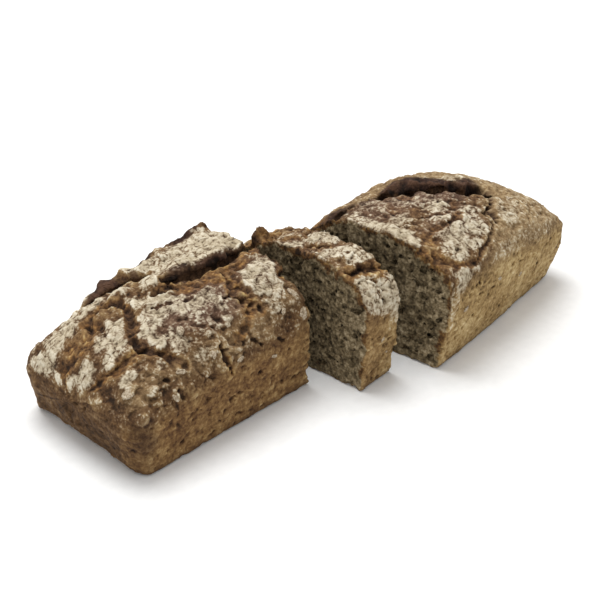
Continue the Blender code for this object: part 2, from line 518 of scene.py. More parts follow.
@dataclass(frozen=True)
class Bake:
    """Where the loaf tore, rose and kept its flour."""

    tears: tuple[Tear, ...] = (
        # The deep tear along the front half's crown, under the large floured plate.
        Tear(((66, 4), (72, 1), (80, -1), (88, -3), (96, -4), (104, -4), (112, -3), (121, -3)),
             8.5, 4.2, 0.25, under=2.4, rust=8.0),
        Tear(((54, 1), (58, -1), (62, -1)), 5.5, 4.0, 0.3),
        # The tear across the left part of the front half.
        Tear(((22, 18), (27, 22), (32, 21), (37, 17), (38, 11), (37, 4), (34, -3), (29, -10), (26, -17),
              (26, -24), (28, -30), (33, -36), (36, -43)), 5.0, 2.6, 0.3, rust=1.0),
        Tear(((26, -24), (21, -22), (15, -21), (10, -20), (4, -15)), 4.0, 2.2, 0.3, rust=2.0),
        Tear(((22, 18), (20, 14), (16, 11), (11, 8), (6, 9), (1, 12)), 5.5, 1.8, 0.3, rust=4.0),
        # Where the centre plate broke away from the near plate.
        Tear(((91, -12), (90, -20), (84, -28), (86, -33), (90, -38), (93, -42)), 5.0, 2.2, 0.3, rust=4.0),
        Tear(((78, -28), (83, -30), (87, -34)), 2.6, 3.0, 0.4),
        Tear(((94, -17), (92, -26), (91, -34), (93, -41)), 2.6, 1.6, 0.3),
        Tear(((88, -38), (83, -42), (76, -45), (70, -47)), 3.6, 1.4, 0.3, rust=2.0),
        Tear(((64, -28), (66, -33), (66, -38)), 1.8, 1.6, 0.4),
        Tear(((53, -30), (56, -34), (60, -37)), 1.6, 1.6, 0.4),
        Tear(((44, -6), (50, -10), (57, -14), (64, -17)), 1.6, 1.3, 0.3),
        Tear(((40, -20), (47, -22), (52, -26)), 1.6, 1.3, 0.3),
        # The far side of the front half.
        Tear(((35, 38), (43, 34), (49, 33), (55, 31), (60, 26), (64, 21)),
             7.0, 4.5, 0.2, under=2.2, rust=1.0),
        # The slice.
        Tear(((121, -30), (126, -34), (132, -37), (138, -37), (144, -40), (150, -41)),
             5.0, 2.6, 0.3, rust=5.0),
        Tear(((127, 22), (134, 14), (137, 8), (142, 10), (150, 12)), 3.4, 1.6, 0.3, rust=1.0),
        Tear(((129, -2), (134, -5), (138, -10), (134, -13)), 3.4, 1.8, 0.3, rust=1.0),
        # The rear half's trench, which widens to the right, and the tears around its plate.
        Tear(((154, 29), (164, 31), (176, 31), (188, 27)), 7.0, 3.0, 0.2, under=1.0, rust=3.0),
        Tear(((184, 28), (192, 25), (201, 20)), 10.0, 3.5, 0.2, under=1.0, rust=4.0),
        Tear(((198, 21), (208, 16), (216, 10), (223, 3), (231, -4), (238, -10), (246, -15)),
             20.0, 6.0, 0.25, under=1.5),
        Tear(((244, -16), (240, -24), (234, -29), (228, -32), (218, -36)), 3.6, 2.8, 0.3),
        Tear(((246, -19), (240, -26), (233, -30)), 6.0, 3.6, 0.3),
        Tear(((227, -31), (222, -37), (218, -42)), 6.5, 3.4, 0.3),
        Tear(((218, -36), (215, -42), (208, -47), (200, -50), (190, -52), (182, -54)), 3.0, 1.8, 0.4),
        Tear(((182, -54), (172, -54), (163, -52), (158, -47), (155, -40)), 3.6, 1.4, 0.3, rust=1.5),
        Tear(((160, -29), (168, -27), (178, -28), (190, -29), (200, -27)), 3.4, 1.2, 0.3, rust=1.0),
        Tear(((176, -14), (186, -18), (196, -24)), 1.8, 1.4, 0.4),
        Tear(((166, 4), (176, 0), (186, -4)), 1.8, 1.4, 0.4),
        # Small seams low on the near side, where the dough pulled off the tin.
        Tear(((58, 54), (58, 46), (60, 38)), 2.8, 3.4, 0.5, Face.NEAR, rust=1.5),
        Tear(((24, 48), (27, 43), (29, 38)), 2.2, 2.2, 0.5, Face.NEAR),
        Tear(((58, 52), (64, 50), (71, 50), (78, 52)), 1.8, 1.8, 0.6, Face.NEAR),
        Tear(((78, 50), (84, 45)), 2.0, 2.2, 0.5, Face.NEAR),
        Tear(((181, 50), (184, 44)), 2.2, 2.0, 0.4, Face.NEAR),
        Tear(((174, 24), (182, 26)), 1.6, 1.8, 0.3, Face.NEAR),
        Tear(((96, 44), (100, 40)), 1.6, 1.8, 0.3, Face.NEAR),
        Tear(((60, 20), (66, 22), (74, 21)), 1.6, 1.5, 0.3, Face.NEAR),
        # The far side, which copies the near side's habits.
        Tear(((20, 30), (34, 34), (52, 33), (70, 36)), 3.0, 2.6, 0.6, Face.FAR, rust=2.0),
        Tear(((84, 40), (100, 43), (118, 42)), 2.8, 2.4, 0.6, Face.FAR, rust=2.0),
        Tear(((156, 42), (176, 46), (198, 44), (222, 45)), 3.0, 2.6, 0.6, Face.FAR, rust=2.0),
        Tear(((240, 40), (262, 38), (280, 35)), 2.6, 2.2, 0.6, Face.FAR, rust=2.0),
    )
    floured: tuple[Patch, ...] = (
        # The front half's large far plate, and the lumps beside its lip.
        Patch(76, 16, 9, 11), Patch(88, 14, 14, 15), Patch(104, 13, 16, 17), Patch(117, 4, 7, 13),
        Patch(70, 26, 10, 7), Patch(59, 11, 7, 6), Patch(43, 19, 7, 6), Patch(48, 43, 13, 4),
        Patch(60, 35, 9, 5), Patch(112, 26, 10, 7, 0.9),
        # The strip down the left tin end.
        Patch(34, 29, 6, 5), Patch(26, 29, 7, 4), Patch(17, 27, 6, 6), Patch(10, 27, 6, 6),
        Patch(4, 26, 6, 7), Patch(1, 16, 4, 5), Patch(3, 36, 6, 6), Patch(12, 35, 7, 6, 0.9),
        Patch(22, 36, 8, 6, 0.9), Patch(31, 38, 7, 5, 0.9),
        # The plates left of the tear across, and two nubs on the near wall.
        Patch(25, 6, 5, 4), Patch(29, 0, 5, 4), Patch(22, -4, 7, 6), Patch(17, 0, 5, 6),
        Patch(18, -12, 6, 5), Patch(12, -13, 5, 4), Patch(5, -4, 6, 7), Patch(2, 4, 3, 5),
        Patch(12, -29, 6, 4, 0.9), Patch(27, -37, 5, 3, 0.6), Patch(16, -42, 3, 2, 0.7),
        Patch(7, 38, 3, 2, 0.5, Face.NEAR), Patch(26, 43, 3, 2, 0.5, Face.NEAR),
        # The centre plate.
        Patch(44, 5, 6, 6), Patch(50, -4, 9, 7), Patch(55, -14, 9, 7, 0.9), Patch(40, -12, 7, 7, 0.9),
        Patch(32, -15, 5, 5), Patch(31, -25, 6, 6), Patch(42, -28, 6, 5, 0.8), Patch(40, -35, 7, 4, 0.7),
        Patch(58, -24, 8, 6, 0.75), Patch(70, -20, 9, 6, 0.7), Patch(74, -29, 6, 5, 0.75),
        Patch(58, -34, 9, 6, 0.55), Patch(70, -38, 6, 4, 0.7), Patch(48, -44, 7, 4, 0.6),
        # The plate beside the cut.
        Patch(104, -22, 9, 7), Patch(113, -24, 8, 9), Patch(98, -31, 6, 6, 0.9),
        Patch(106, -36, 9, 6, 0.9), Patch(99, -43, 6, 5, 0.75), Patch(117, -10, 6, 4),
        # The slice.
        Patch(133, 19, 8, 4, 0.8), Patch(126, 5, 5, 6), Patch(141, 3, 9, 5), Patch(125, -8, 5, 4),
        Patch(145, -6, 7, 5), Patch(124, -16, 5, 5), Patch(133, -19, 6, 6), Patch(141, -22, 8, 8),
        Patch(139, -31, 9, 4), Patch(128, -43, 7, 5), Patch(141, -46, 9, 6),
        Patch(126, 60, 5, 8, face=Face.NEAR), Patch(138, 61, 9, 7, face=Face.NEAR),
        Patch(141, 52, 7, 6, face=Face.NEAR), Patch(132, 54, 6, 6, 0.8, Face.NEAR),
        Patch(147, 50, 5, 14, face=Face.NEAR),
        # The rear half.
        Patch(156, 14, 7, 9, 0.8), Patch(155, 0, 6, 9), Patch(157, -15, 7, 8), Patch(154, -25, 5, 5),
        Patch(168, -8, 8, 7, 0.65), Patch(196, -13, 9, 7, 0.85), Patch(188, -22, 10, 6, 0.75),
        Patch(194, -34, 9, 6), Patch(200, -42, 9, 6), Patch(178, -42, 9, 6, 0.85),
        Patch(168, -42, 6, 5, 0.9), Patch(188, -48, 7, 4), Patch(169, -49, 8, 4, 0.9),
        Patch(182, 6, 14, 12, 0.38), Patch(172, 22, 12, 8, 0.35), Patch(230, 18, 12, 5, 0.75),
        Patch(200, -4, 14, 12, 0.42), Patch(184, -34, 16, 8, 0.6), Patch(208, -30, 10, 8, 0.7),
        Patch(246, 8, 14, 7, 0.7), Patch(262, 2, 10, 8, 0.45), Patch(230, -42, 9, 8, 0.75),
        Patch(244, -38, 12, 9, 0.5), Patch(262, -36, 12, 10, 0.4), Patch(278, -28, 10, 14, 0.4),
        Patch(162, 58, 7, 9, 0.9, Face.NEAR), Patch(176, 60, 10, 4, 0.6, Face.NEAR),
        Patch(210, 58, 16, 6, 0.4, Face.NEAR), Patch(240, 56, 18, 6, 0.35, Face.NEAR),
        Patch(268, 50, 16, 6, 0.35, Face.NEAR), Patch(154, 44, 4, 14, 0.5, Face.NEAR),
        # The far shoulder, dusted like the near one.
        Patch(176, 54, 18, 6, 0.6, Face.FAR), Patch(214, 54, 20, 6, 0.6, Face.FAR),
        Patch(256, 50, 18, 6, 0.6, Face.FAR), Patch(100, 52, 18, 6, 0.6, Face.FAR),
        Patch(60, 48, 16, 6, 0.5, Face.FAR), Patch(136, 56, 12, 6, 0.6, Face.FAR),
    )
    torn: tuple[Patch, ...] = (
        Patch(74, -9, 12, 6), Patch(88, -14, 9, 6), Patch(100, -13, 8, 3), Patch(88, -23, 5, 8),
        Patch(86, -39, 5, 5), Patch(119, -30, 4, 5, 0.8), Patch(22, 12, 4, 5), Patch(10, 14, 7, 5),
        Patch(4, 14, 5, 4, 0.8), Patch(14, -21, 8, 3, 0.8), Patch(128, -36, 6, 3), Patch(124, 32, 8, 12),
        Patch(132, 30, 8, 5), Patch(156, -42, 6, 5), Patch(152, -36, 3, 5), Patch(152, 40, 6, 8),
        Patch(14, -34, 3, 2.5, 0.3), Patch(163, -33, 5, 4, 0.8), Patch(155, -44, 6, 7),
        Patch(188, 26, 6, 4, 0.9), Patch(206, -20, 6, 4, 0.7), Patch(186, -8, 8, 4, 0.5),
        Patch(52, 30, 6, 4, 0.5), Patch(153, 32, 5, 7, 0.9), Patch(196, 6, 6, 5, 0.7),
        Patch(178, 2, 5, 5, 0.5), Patch(136, 38, 12, 8, 0.8),
    )
    # Scorched crust, with painted shade: most of these patches lie along the tears whose bank overhangs, in
    # the rear trench and under the lips, and darken them for the shade there.
    scorched_and_shaded: tuple[Patch, ...] = (
        Patch(172, 30, 16, 5, 0.6), Patch(204, 21, 9, 8), Patch(214, 14, 11, 10),
        Patch(226, 5, 12, 11), Patch(238, -6, 11, 10), Patch(226, -12, 10, 6, 0.5),
        Patch(208, 27, 9, 6), Patch(222, 19, 10, 8), Patch(234, 8, 9, 9),
        Patch(246, -5, 9, 8), Patch(158, 32, 10, 5, 0.8),
        Patch(44, 38, 16, 5, 0.9), Patch(158, 30, 8, 8, 0.7), Patch(242, -22, 6, 5, 0.6),
        Patch(8, 26, 8, 12, 0.5, Face.NEAR), Patch(200, 26, 24, 6, 0.6),
        Patch(90, -1, 28, 4.5), Patch(134, -36, 6, 3, 0.7), Patch(168, 34, 16, 6, 0.8),
        Patch(46, 36, 12, 3.5), Patch(60, 28, 4, 3, 0.9), Patch(108, 34, 16, 6), Patch(82, 36, 11, 4, 0.9),
        Patch(4, 12, 8, 14, 0.3, Face.NEAR), Patch(74, 6, 9, 4, 0.9), Patch(47, 37, 12, 4),
    )
    plum: tuple[Patch, ...] = (
        Patch(62, -22, 24, 14, 0.9), Patch(40, -20, 16, 12, 0.5), Patch(106, -24, 16, 14, 0.6),
        Patch(184, 10, 30, 16, 0.8), Patch(214, -4, 20, 16, 0.9), Patch(192, -28, 24, 14, 0.6),
        Patch(134, 0, 14, 24, 0.4), Patch(72, -32, 16, 8, 0.7), Patch(20, -8, 14, 10, 0.3),
    )
    tan: tuple[Patch, ...] = (
        Patch(272, -10, 26, 40, 0.9), Patch(250, -40, 30, 14, 0.9), Patch(224, -49, 22, 7, 0.9),
        Patch(250, 20, 26, 14, 0.8), Patch(206, 40, 40, 6, 0.6), Patch(60, -46, 36, 8, 0.35),
        Patch(12, -38, 18, 8, 0.4), Patch(106, -40, 14, 10, 0.3), Patch(250, 55, 34, 9, 0.9, Face.NEAR),
        Patch(274, 46, 20, 12, 0.9, Face.NEAR), Patch(214, 58, 20, 7, 0.8, Face.NEAR),
    )
    # Strength is millimetres of height here.
    raised: tuple[Patch, ...] = (
        Patch(45, 42, 10, 6, 4.0), Patch(56, 38, 10, 6, 4.0), Patch(66, 32, 9, 6, 3.0),
        Patch(96, 30, 22, 9, 3.2), Patch(114, 24, 10, 12, 3.0), Patch(92, 8, 24, 7, 1.6),
        Patch(7, 37, 4, 3, 2.2, Face.NEAR), Patch(1, 36, 4, 3, 2.2, Face.NEAR),
        Patch(26, 42, 4, 3, 2.0, Face.NEAR), Patch(16, -42, 4, 3, 1.8), Patch(10, -34, 4, 3, 1.8),
        Patch(36, -40, 4, 3, 1.8), Patch(54, 44, 4, 3, 1.6, Face.NEAR),
        Patch(104, -26, 12, 9, 1.2), Patch(43, 19, 6, 5, 2.0), Patch(59, 11, 6, 5, 2.0),
        Patch(134, -26, 14, 8, 1.2), Patch(198, 38, 24, 8, -2.0), Patch(192, -14, 26, 18, 1.4),
    )
    ears: tuple[Ear, ...] = (
        Ear(((90, 37, 0.5), (98, 37, 1.6), (106, 35, 2.2), (112, 33, 3.0), (116, 32, 4.4), (118.5, 31, 6.0),
             (120.5, 31, 1.0)), 2.0, 0.4),
        Ear(((122, 34, 1.5), (124, 33, 5.0), (126.5, 32, 10.0), (128.5, 31, 11.0), (131, 29, 5.0),
             (135, 27, 1.0)), 2.6, 0.3),
        Ear(((72, 39, 0.2), (77, 39, 1.2), (81, 39, 2.0), (85, 38, 1.4), (90, 37, 0.3)), 2.0, 0.3),
    )


def distance_to_route(points: Array, route: Array) -> Array:
    """Distance from points to a line of straight stretches.

    Args:
        points: Places, one row each.
        route: The line's points, one row each.

    Returns:
        Distance of each place.
    """
    best = np.full(len(points), np.inf, np.float32)
    for start, end in zip(route, route[1:]):
        along = end - start
        share = np.clip((points - start) @ along / (along @ along), 0.0, 1.0)
        gap = points - start - share[:, None] * along
        best = np.minimum(best, np.einsum("ij,ij->i", gap, gap))
    return np.sqrt(best)


def blurred(table: Array, reach: int) -> Array:
    """Average of a table over a square around each entry.

    Args:
        table: Two-dimensional table.
        reach: Half the square's side, in entries.

    Returns:
        The averaged table.
    """
    for axis in (0, 1):
        padding = [(reach + 1, reach) if k == axis else (0, 0) for k in (0, 1)]
        total = np.cumsum(np.pad(table, padding, mode="edge"), axis=axis, dtype=np.float64)
        ahead = np.take(total, range(2 * reach + 1, total.shape[axis]), axis=axis)
        behind = np.take(total, range(total.shape[axis] - 2 * reach - 1), axis=axis)
        table = (ahead - behind) / (2 * reach + 1)
    return table.astype(np.float32)


@dataclass
class Crust:
    """Relief and dusting of the whole crust, as maps over the loaf's table.

    Heights and sizes are in millimetres. A field that ends in size is the size of a noise's features,
    and the field of the same name without it is how strong that noise is. Banks, lips and bare bands
    are in half widths of the tear; the sharp ones are on the side where a plate overhangs it.
    """

    loaf: TinLoaf
    bake: Bake
    grain: Grain
    stray: float = 2.4
    stray_size: float = 8.0
    shoulder_wander: float = 3.0
    shoulder_size: float = 14.0
    shoulder_edge: tuple[float, float] = (-6.0, 8.0)
    patch_edge: tuple[float, float] = (1.45, 0.60)
    swell: float = 0.4
    swell_on_top: float = 0.8
    swell_size: float = 26.0
    lump: float = 1.7
    lump_level: float = 0.45
    lump_size: float = 8.0
    rubble: float = 0.36
    rubble_on_top: float = 0.10
    rubble_size: float = 3.8
    scalings: tuple[Scaling, ...] = (
        Scaling(8.5, 0.0, 1.3, 0.22, 0.0, 0.13, 0.3, 0.9),
        Scaling(4.4, 50.0, 0.30, 0.25, 0.5, 0.14, 0.12, 0.4),
    )
    patchy_size: float = 19.0
    plate_rise: float = 0.8
    torn_drop: float = 1.4
    torn_rough: float = 1.3
    torn_size: tuple[float, float, float] = (7.0, 3.0, 3.0)
    wall_on_top: float = 0.35
    wall_bend: float = 1.6
    wall_bend_size: float = 5.0
    pittings: tuple[Pitting, ...] = (
        Pitting((7.0, 5.0, 4.0), 0.0, 1.8, (0.36, 0.12), 0.70, 1.2, (0.45, 0.20), 0.26),
        Pitting(3.4, 31.0, 1.1, (0.38, 0.12), 0.72, 0.6, (0.42, 0.16), 0.20),
    )
    wall_wave: float = 0.55
    wall_wave_size: tuple[float, float, float] = (9.0, 6.0, 5.0)
    swing: float = 0.9
    swing_size: float = 9.0
    least_swing: float = 0.3
    fray: float = 1.5
    fray_size: float = 3.2
    plate_calm: float = 0.7
    soft_bank: tuple[float, float] = (1.3, 0.1)
    sharp_bank: tuple[float, float] = (1.1, 0.75)
    lip_place: float = 1.7
    lip_width: float = 0.6
    crack_shade_within: tuple[float, float] = (1.0, 0.25)
    crack_shade_depth: float = 3.5
    soft_bare: tuple[float, float] = (1.6, 0.9)
    sharp_bare: tuple[float, float] = (1.35, 1.10)
    rust_fade: tuple[float, float] = (1.0, 0.5)
    rust_loss: float = 0.8
    reach: float = 16.0
    haze: float = 0.20
    torn_loss: float = 0.85
    scorch_and_shade_loss: float = 0.9
    blur_reach: int = 6
    relief_range: float = 3.0
    foot_fade: tuple[float, float] = (-4.0, 6.0)
    height: Array = field(init=False)
    masks: dict[str, Array] = field(init=False)

    def __post_init__(self) -> None:
        """Work out the maps."""
        points = self.loaf.points.reshape(-1, 3)
        names = ("flour", "torn", "scorch", "plum", "tan", "crack")
        self.masks = {name: np.zeros(len(points), np.float32) for name in names}
        self.masks["side"] = 1.0 - self.top_share(points)
        wander = [self.grain.layered(points + shift, self.stray_size, 3) for shift in (0.0, 90.0, 180.0)]
        strayed = points + self.stray * np.stack(wander, axis=1)
        self.lay_patches(strayed)
        self.height = self.rough_height(points, strayed)
        for tear in self.bake.tears:
            self.open_tear(tear, strayed, points)
        self.height *= ease(*self.foot_fade, points[:, 2])
        shape = self.loaf.radius.shape
        self.height = self.height.reshape(shape).astype(np.float32)
        self.masks = {name: mask.reshape(shape) for name, mask in self.masks.items()}
        # Relief, from 0 in hollows to 1 on crests: the finish paints shade into the hollows and light onto
        # the crests with it, and keeps flour on the crests.
        proud = self.height - blurred(self.height, self.blur_reach)
        self.masks["relief"] = np.clip(0.5 + proud / self.relief_range, 0.0, 1.0)

    def top_share(self, points: Array) -> Array:
        """1 on the domed top, 0 on the walls that the tin shaped."""
        shoulders = np.array([self.loaf.sizes_at(s)[3:5] for s in self.loaf.places])
        near, far = (np.repeat(column, self.loaf.turns + 1) for column in shoulders.T)
        shoulder = np.where(points[:, 1] < 0, near, far)
        shoulder = shoulder + self.shoulder_wander * self.grain.smooth(points, self.shoulder_size)
        low, high = self.shoulder_edge
        return ease(shoulder + low, shoulder + high, points[:, 2]).astype(np.float32)

    def patch_share(self, patch: Patch, points: Array) -> Array:
        """How much of a patch each point has, from 0 to its strength."""
        centre = self.loaf.surface_point(patch.face, patch.s, patch.across)
        gap = points - centre
        out = np.hypot(gap[:, 0] / patch.long, np.hypot(gap[:, 1], gap[:, 2]) / patch.wide)
        return patch.strength * ease(*self.patch_edge, out)

    def lay_patches(self, strayed: Array) -> None:
        """Fill the masks of flour, of torn, plum-brown and tan crust, and of scorched crust with painted
        shade along the overhanging tears.

        Args:
            strayed: The table's points, moved a little so that edges wander.
        """
        for name, patches in (
            ("flour", self.bake.floured),
            ("torn", self.bake.torn),
            ("scorch", self.bake.scorched_and_shaded),
            ("plum", self.bake.plum),
            ("tan", self.bake.tan),
        ):
            bare = np.ones(len(strayed), np.float32)
            for patch in patches:
                bare *= 1.0 - self.patch_share(patch, strayed)
            self.masks[name] = 1.0 - bare
        top = 1.0 - self.masks["side"]
        self.masks["flour"] = np.maximum(self.masks["flour"], self.haze * top)
        kept = 1.0 - self.torn_loss * self.masks["torn"]
        self.masks["flour"] *= kept * (1.0 - self.scorch_and_shade_loss * self.masks["scorch"])

    def rough_height(self, points: Array, strayed: Array) -> Array:
        """Relief of the risen crust apart from its tears.

        Args:
            points: The table's points.
            strayed: The same points, moved a little so that cells look broken.

        Returns:
            Height over the smooth form in millimetres.
        """
        side, flour, torn = (self.masks[name] for name in ("side", "flour", "torn"))
        top = 1.0 - side
        height = self.grain.layered(points, self.swell_size, 2) * (self.swell + self.swell_on_top * top)
        ridges = self.lump_level - np.abs(self.grain.layered(points + 11.0, self.lump_size, 2))
        height += ridges * self.lump * top
        rubble = self.grain.layered(points + 23.0, self.rubble_size, 3)
        height += rubble * (self.rubble + self.rubble_on_top * top)
        patchy = ease(-0.25, 0.45, self.grain.smooth(points + 61.0, self.patchy_size))
        for layer in self.scalings:
            first, second, tag = self.grain.cells(strayed + layer.shift, layer.size)
            share = layer.wall_share + (1.0 - layer.wall_share) * top
            height += (tag - 0.5) * layer.step * share * ease(0.02, layer.step_width, second - first)
            crack = ease(layer.crack_width, 0.0, second - first)
            height -= crack * top * (layer.crack + layer.patchy_crack * patchy)
        height += self.plate_rise * flour * top
        for patch in self.bake.raised:
            height += self.patch_share(patch, points)
        height -= self.torn_drop * torn
        height += self.grain.layered(points, self.torn_size, 3) * self.torn_rough * torn
        return height + self.wall_relief(points) * (self.wall_on_top + (1.0 - self.wall_on_top) * side)

    def wall_relief(self, points: Array) -> Array:
        """Pits, grains and flakes that the tin wall left in the sides.

        Args:
            points: The table's points.

        Returns:
            Height over the smooth form in millimetres.
        """
        bent = points + self.wall_bend * self.grain.smooth(points + 7.0, self.wall_bend_size)[:, None]
        relief = self.wall_wave * self.grain.layered(points + 5.0, self.wall_wave_size, 3)
        for layer in self.pittings:
            first, _, tag = self.grain.cells(bent + layer.shift, layer.size)
            relief = relief - layer.pit * ease(*layer.pit_reach, first) * (tag > layer.pit_above)
            relief = relief + layer.grain * ease(*layer.grain_reach, first) * (tag < layer.grain_below)
        return relief

    def open_tear(self, tear: Tear, strayed: Array, points: Array) -> None:
        """Sink one tear into the maps.

        Args:
            tear: The tear.
            strayed: The table's points, moved a little so that the tear wanders.
            points: The table's points.
        """
        route = np.array([self.loaf.surface_point(tear.face, *spot) for spot in tear.route])
        low, high = route.min(axis=0) - self.reach, route.max(axis=0) + self.reach
        near = np.flatnonzero(np.all((strayed > low) & (strayed < high), axis=1))
        here = 0.5 * (strayed[near] + points[near])
        gap = distance_to_route(here, route)
        swing = 1.0 + self.swing * self.grain.smooth(points[near] + 70.0, self.swing_size)
        swing = np.maximum(swing, self.least_swing)
        plate = np.zeros(len(near), np.float32)
        if tear.under:
            order = np.argsort(route[:, 0])
            middle = np.interp(here[:, 0], route[order, 0], route[order, 1])
            plate = ease(0.0, 1.5, here[:, 1] - middle)
        fray = self.grain.layered(points[near], self.fray_size, 2)
        gap += self.fray * (1.0 - self.plate_calm * plate) * fray
        out = gap / (0.5 * tear.width * swing)
        bank = ease(*self.soft_bank, out) * (1 - plate) + ease(*self.sharp_bank, out) * plate
        self.height[near] -= tear.depth * bank
        self.height[near] += tear.lip * np.exp(-(((out - self.lip_place) / self.lip_width) ** 2))
        # Painted shade: the bottom of the tear is darkened, more the deeper the tear, for the shade that
        # falls into it.
        crack_shade = ease(*self.crack_shade_within, out) * min(1.0, tear.depth / self.crack_shade_depth)
        self.masks["crack"][near] = np.maximum(self.masks["crack"][near], crack_shade)
        bare = ease(*self.soft_bare, out) * (1 - plate) + ease(*self.sharp_bare, out) * plate
        self.masks["flour"][near] *= 1.0 - bare
        if tear.rust:
            spread = gap / (0.5 * tear.width + tear.rust * swing)
            rust = ease(*self.rust_fade, spread) * (1 - plate)
            self.masks["torn"][near] = np.maximum(self.masks["torn"][near], rust)
            self.masks["flour"][near] *= 1.0 - self.rust_loss * rust


# ---------------------------------------------------------------------------------------------
# Level surface of a solid field
# ---------------------------------------------------------------------------------------------

CUBE = np.array(list(itertools.product((0, 1), repeat=3)), np.int32)
CUBE_EDGES = [
    (a, b) for a, b in itertools.combinations(range(8), 2) if int(np.abs(CUBE[a] - CUBE[b]).sum()) == 1
]


def level_surface(solid: Array) -> tuple[Array, Array]:
    """Surface where a field on a grid crosses zero, as one point in each crossed cell.

    Args:
        solid: Field, above zero inside.

    Returns:
        Points in grid units, and quads of their numbers, facing out.
    """
    inside = solid > 0
    long, wide, tall = (size - 1 for size in inside.shape)
    count = sum(inside[a : a + long, b : b + wide, c : c + tall].astype(np.int8) for a, b, c in CUBE)
    crossed = (count > 0) & (count < 8)
    cells = np.argwhere(crossed).astype(np.int32)
    number = np.full(crossed.shape, -1, np.int32)
    number[crossed] = np.arange(len(cells))
    corners = np.stack([solid[tuple((cells + corner).T)] for corner in CUBE], axis=1)
    total = np.zeros((len(cells), 3), np.float32)
    hits = np.zeros(len(cells), np.float32)
    for a, b in CUBE_EDGES:
        one, two = corners[:, a], corners[:, b]
        cut = (one > 0) != (two > 0)
        share = np.where(cut, one / np.where(cut, one - two, 1.0), 0.0)
        total += np.where(cut[:, None], CUBE[a] + share[:, None] * (CUBE[b] - CUBE[a]), 0.0)
        hits += cut
    points = cells + total / hits[:, None]
    return points, np.concatenate([axis_quads(inside, number, axis) for axis in range(3)])


def axis_quads(inside: Array, number: Array, axis: int) -> Array:
    """Quads across the grid edges that run along one axis.

    Args:
        inside: Which grid points are inside.
        number: Number of the surface point in each cell, or -1.
        axis: The axis.

    Returns:
        Quads, facing out.
    """
    u, v = (axis + 1) % 3, (axis + 2) % 3
    ahead = np.diff(inside.astype(np.int8), axis=axis)
    spots = np.argwhere(ahead != 0)
    spots = spots[(spots[:, u] > 0) & (spots[:, v] > 0)]
    spots = spots[(spots[:, u] < inside.shape[u] - 1) & (spots[:, v] < inside.shape[v] - 1)]
    quad = []
    for du, dv in ((-1, -1), (0, -1), (0, 0), (-1, 0)):
        cell = spots.copy()
        cell[:, u] += du
        cell[:, v] += dv
        quad.append(number[tuple(cell.T)])
    quads = np.stack(quad, axis=1)
    leaving = ahead[tuple(spots.T)] < 0
    return np.where(leaving[:, None], quads, quads[:, ::-1])


def keep_largest_shell(points: Array, quads: Array) -> tuple[Array, Array]:
    """Drop loose crumbs and closed bubbles, and keep the one outer surface.

    Args:
        points: Surface points.
        quads: Quads of their numbers.

    Returns:
        The points and quads of the largest connected surface.
    """
    label = np.arange(len(points))
    edges = np.concatenate([quads[:, [0, 1]], quads[:, [1, 2]], quads[:, [2, 3]]])
    while True:
        lowest = label.copy()
        np.minimum.at(lowest, edges[:, 0], label[edges[:, 1]])
        np.minimum.at(lowest, edges[:, 1], label[edges[:, 0]])
        lowest = lowest[lowest]
        if np.array_equal(lowest, label):
            break
        label = lowest
    largest = np.bincount(label).argmax()
    kept = label == largest
    renumber = np.cumsum(kept) - 1
    return points[kept], renumber[quads[kept[quads[:, 0]]]]


def relax(points: Array, quads: Array, share: float) -> Array:
    """Move each point part of the way to the middle of its neighbours.

    Args:
        points: Surface points.
        quads: Quads of their numbers.
        share: How far they move, from 0 to 1.

    Returns:
        The moved points.
    """
    total = np.zeros_like(points)
    hits = np.zeros(len(points))
    for k in range(4):
        here, there = quads[:, k], quads[:, (k + 1) % 4]
        for axis in range(3):
            total[:, axis] += np.bincount(here, points[there, axis], len(points))
        hits += np.bincount(here, minlength=len(points))
    return points + share * (total / np.maximum(hits, 1)[:, None] - points)


# ---------------------------------------------------------------------------------------------
# The cut pieces
# ---------------------------------------------------------------------------------------------


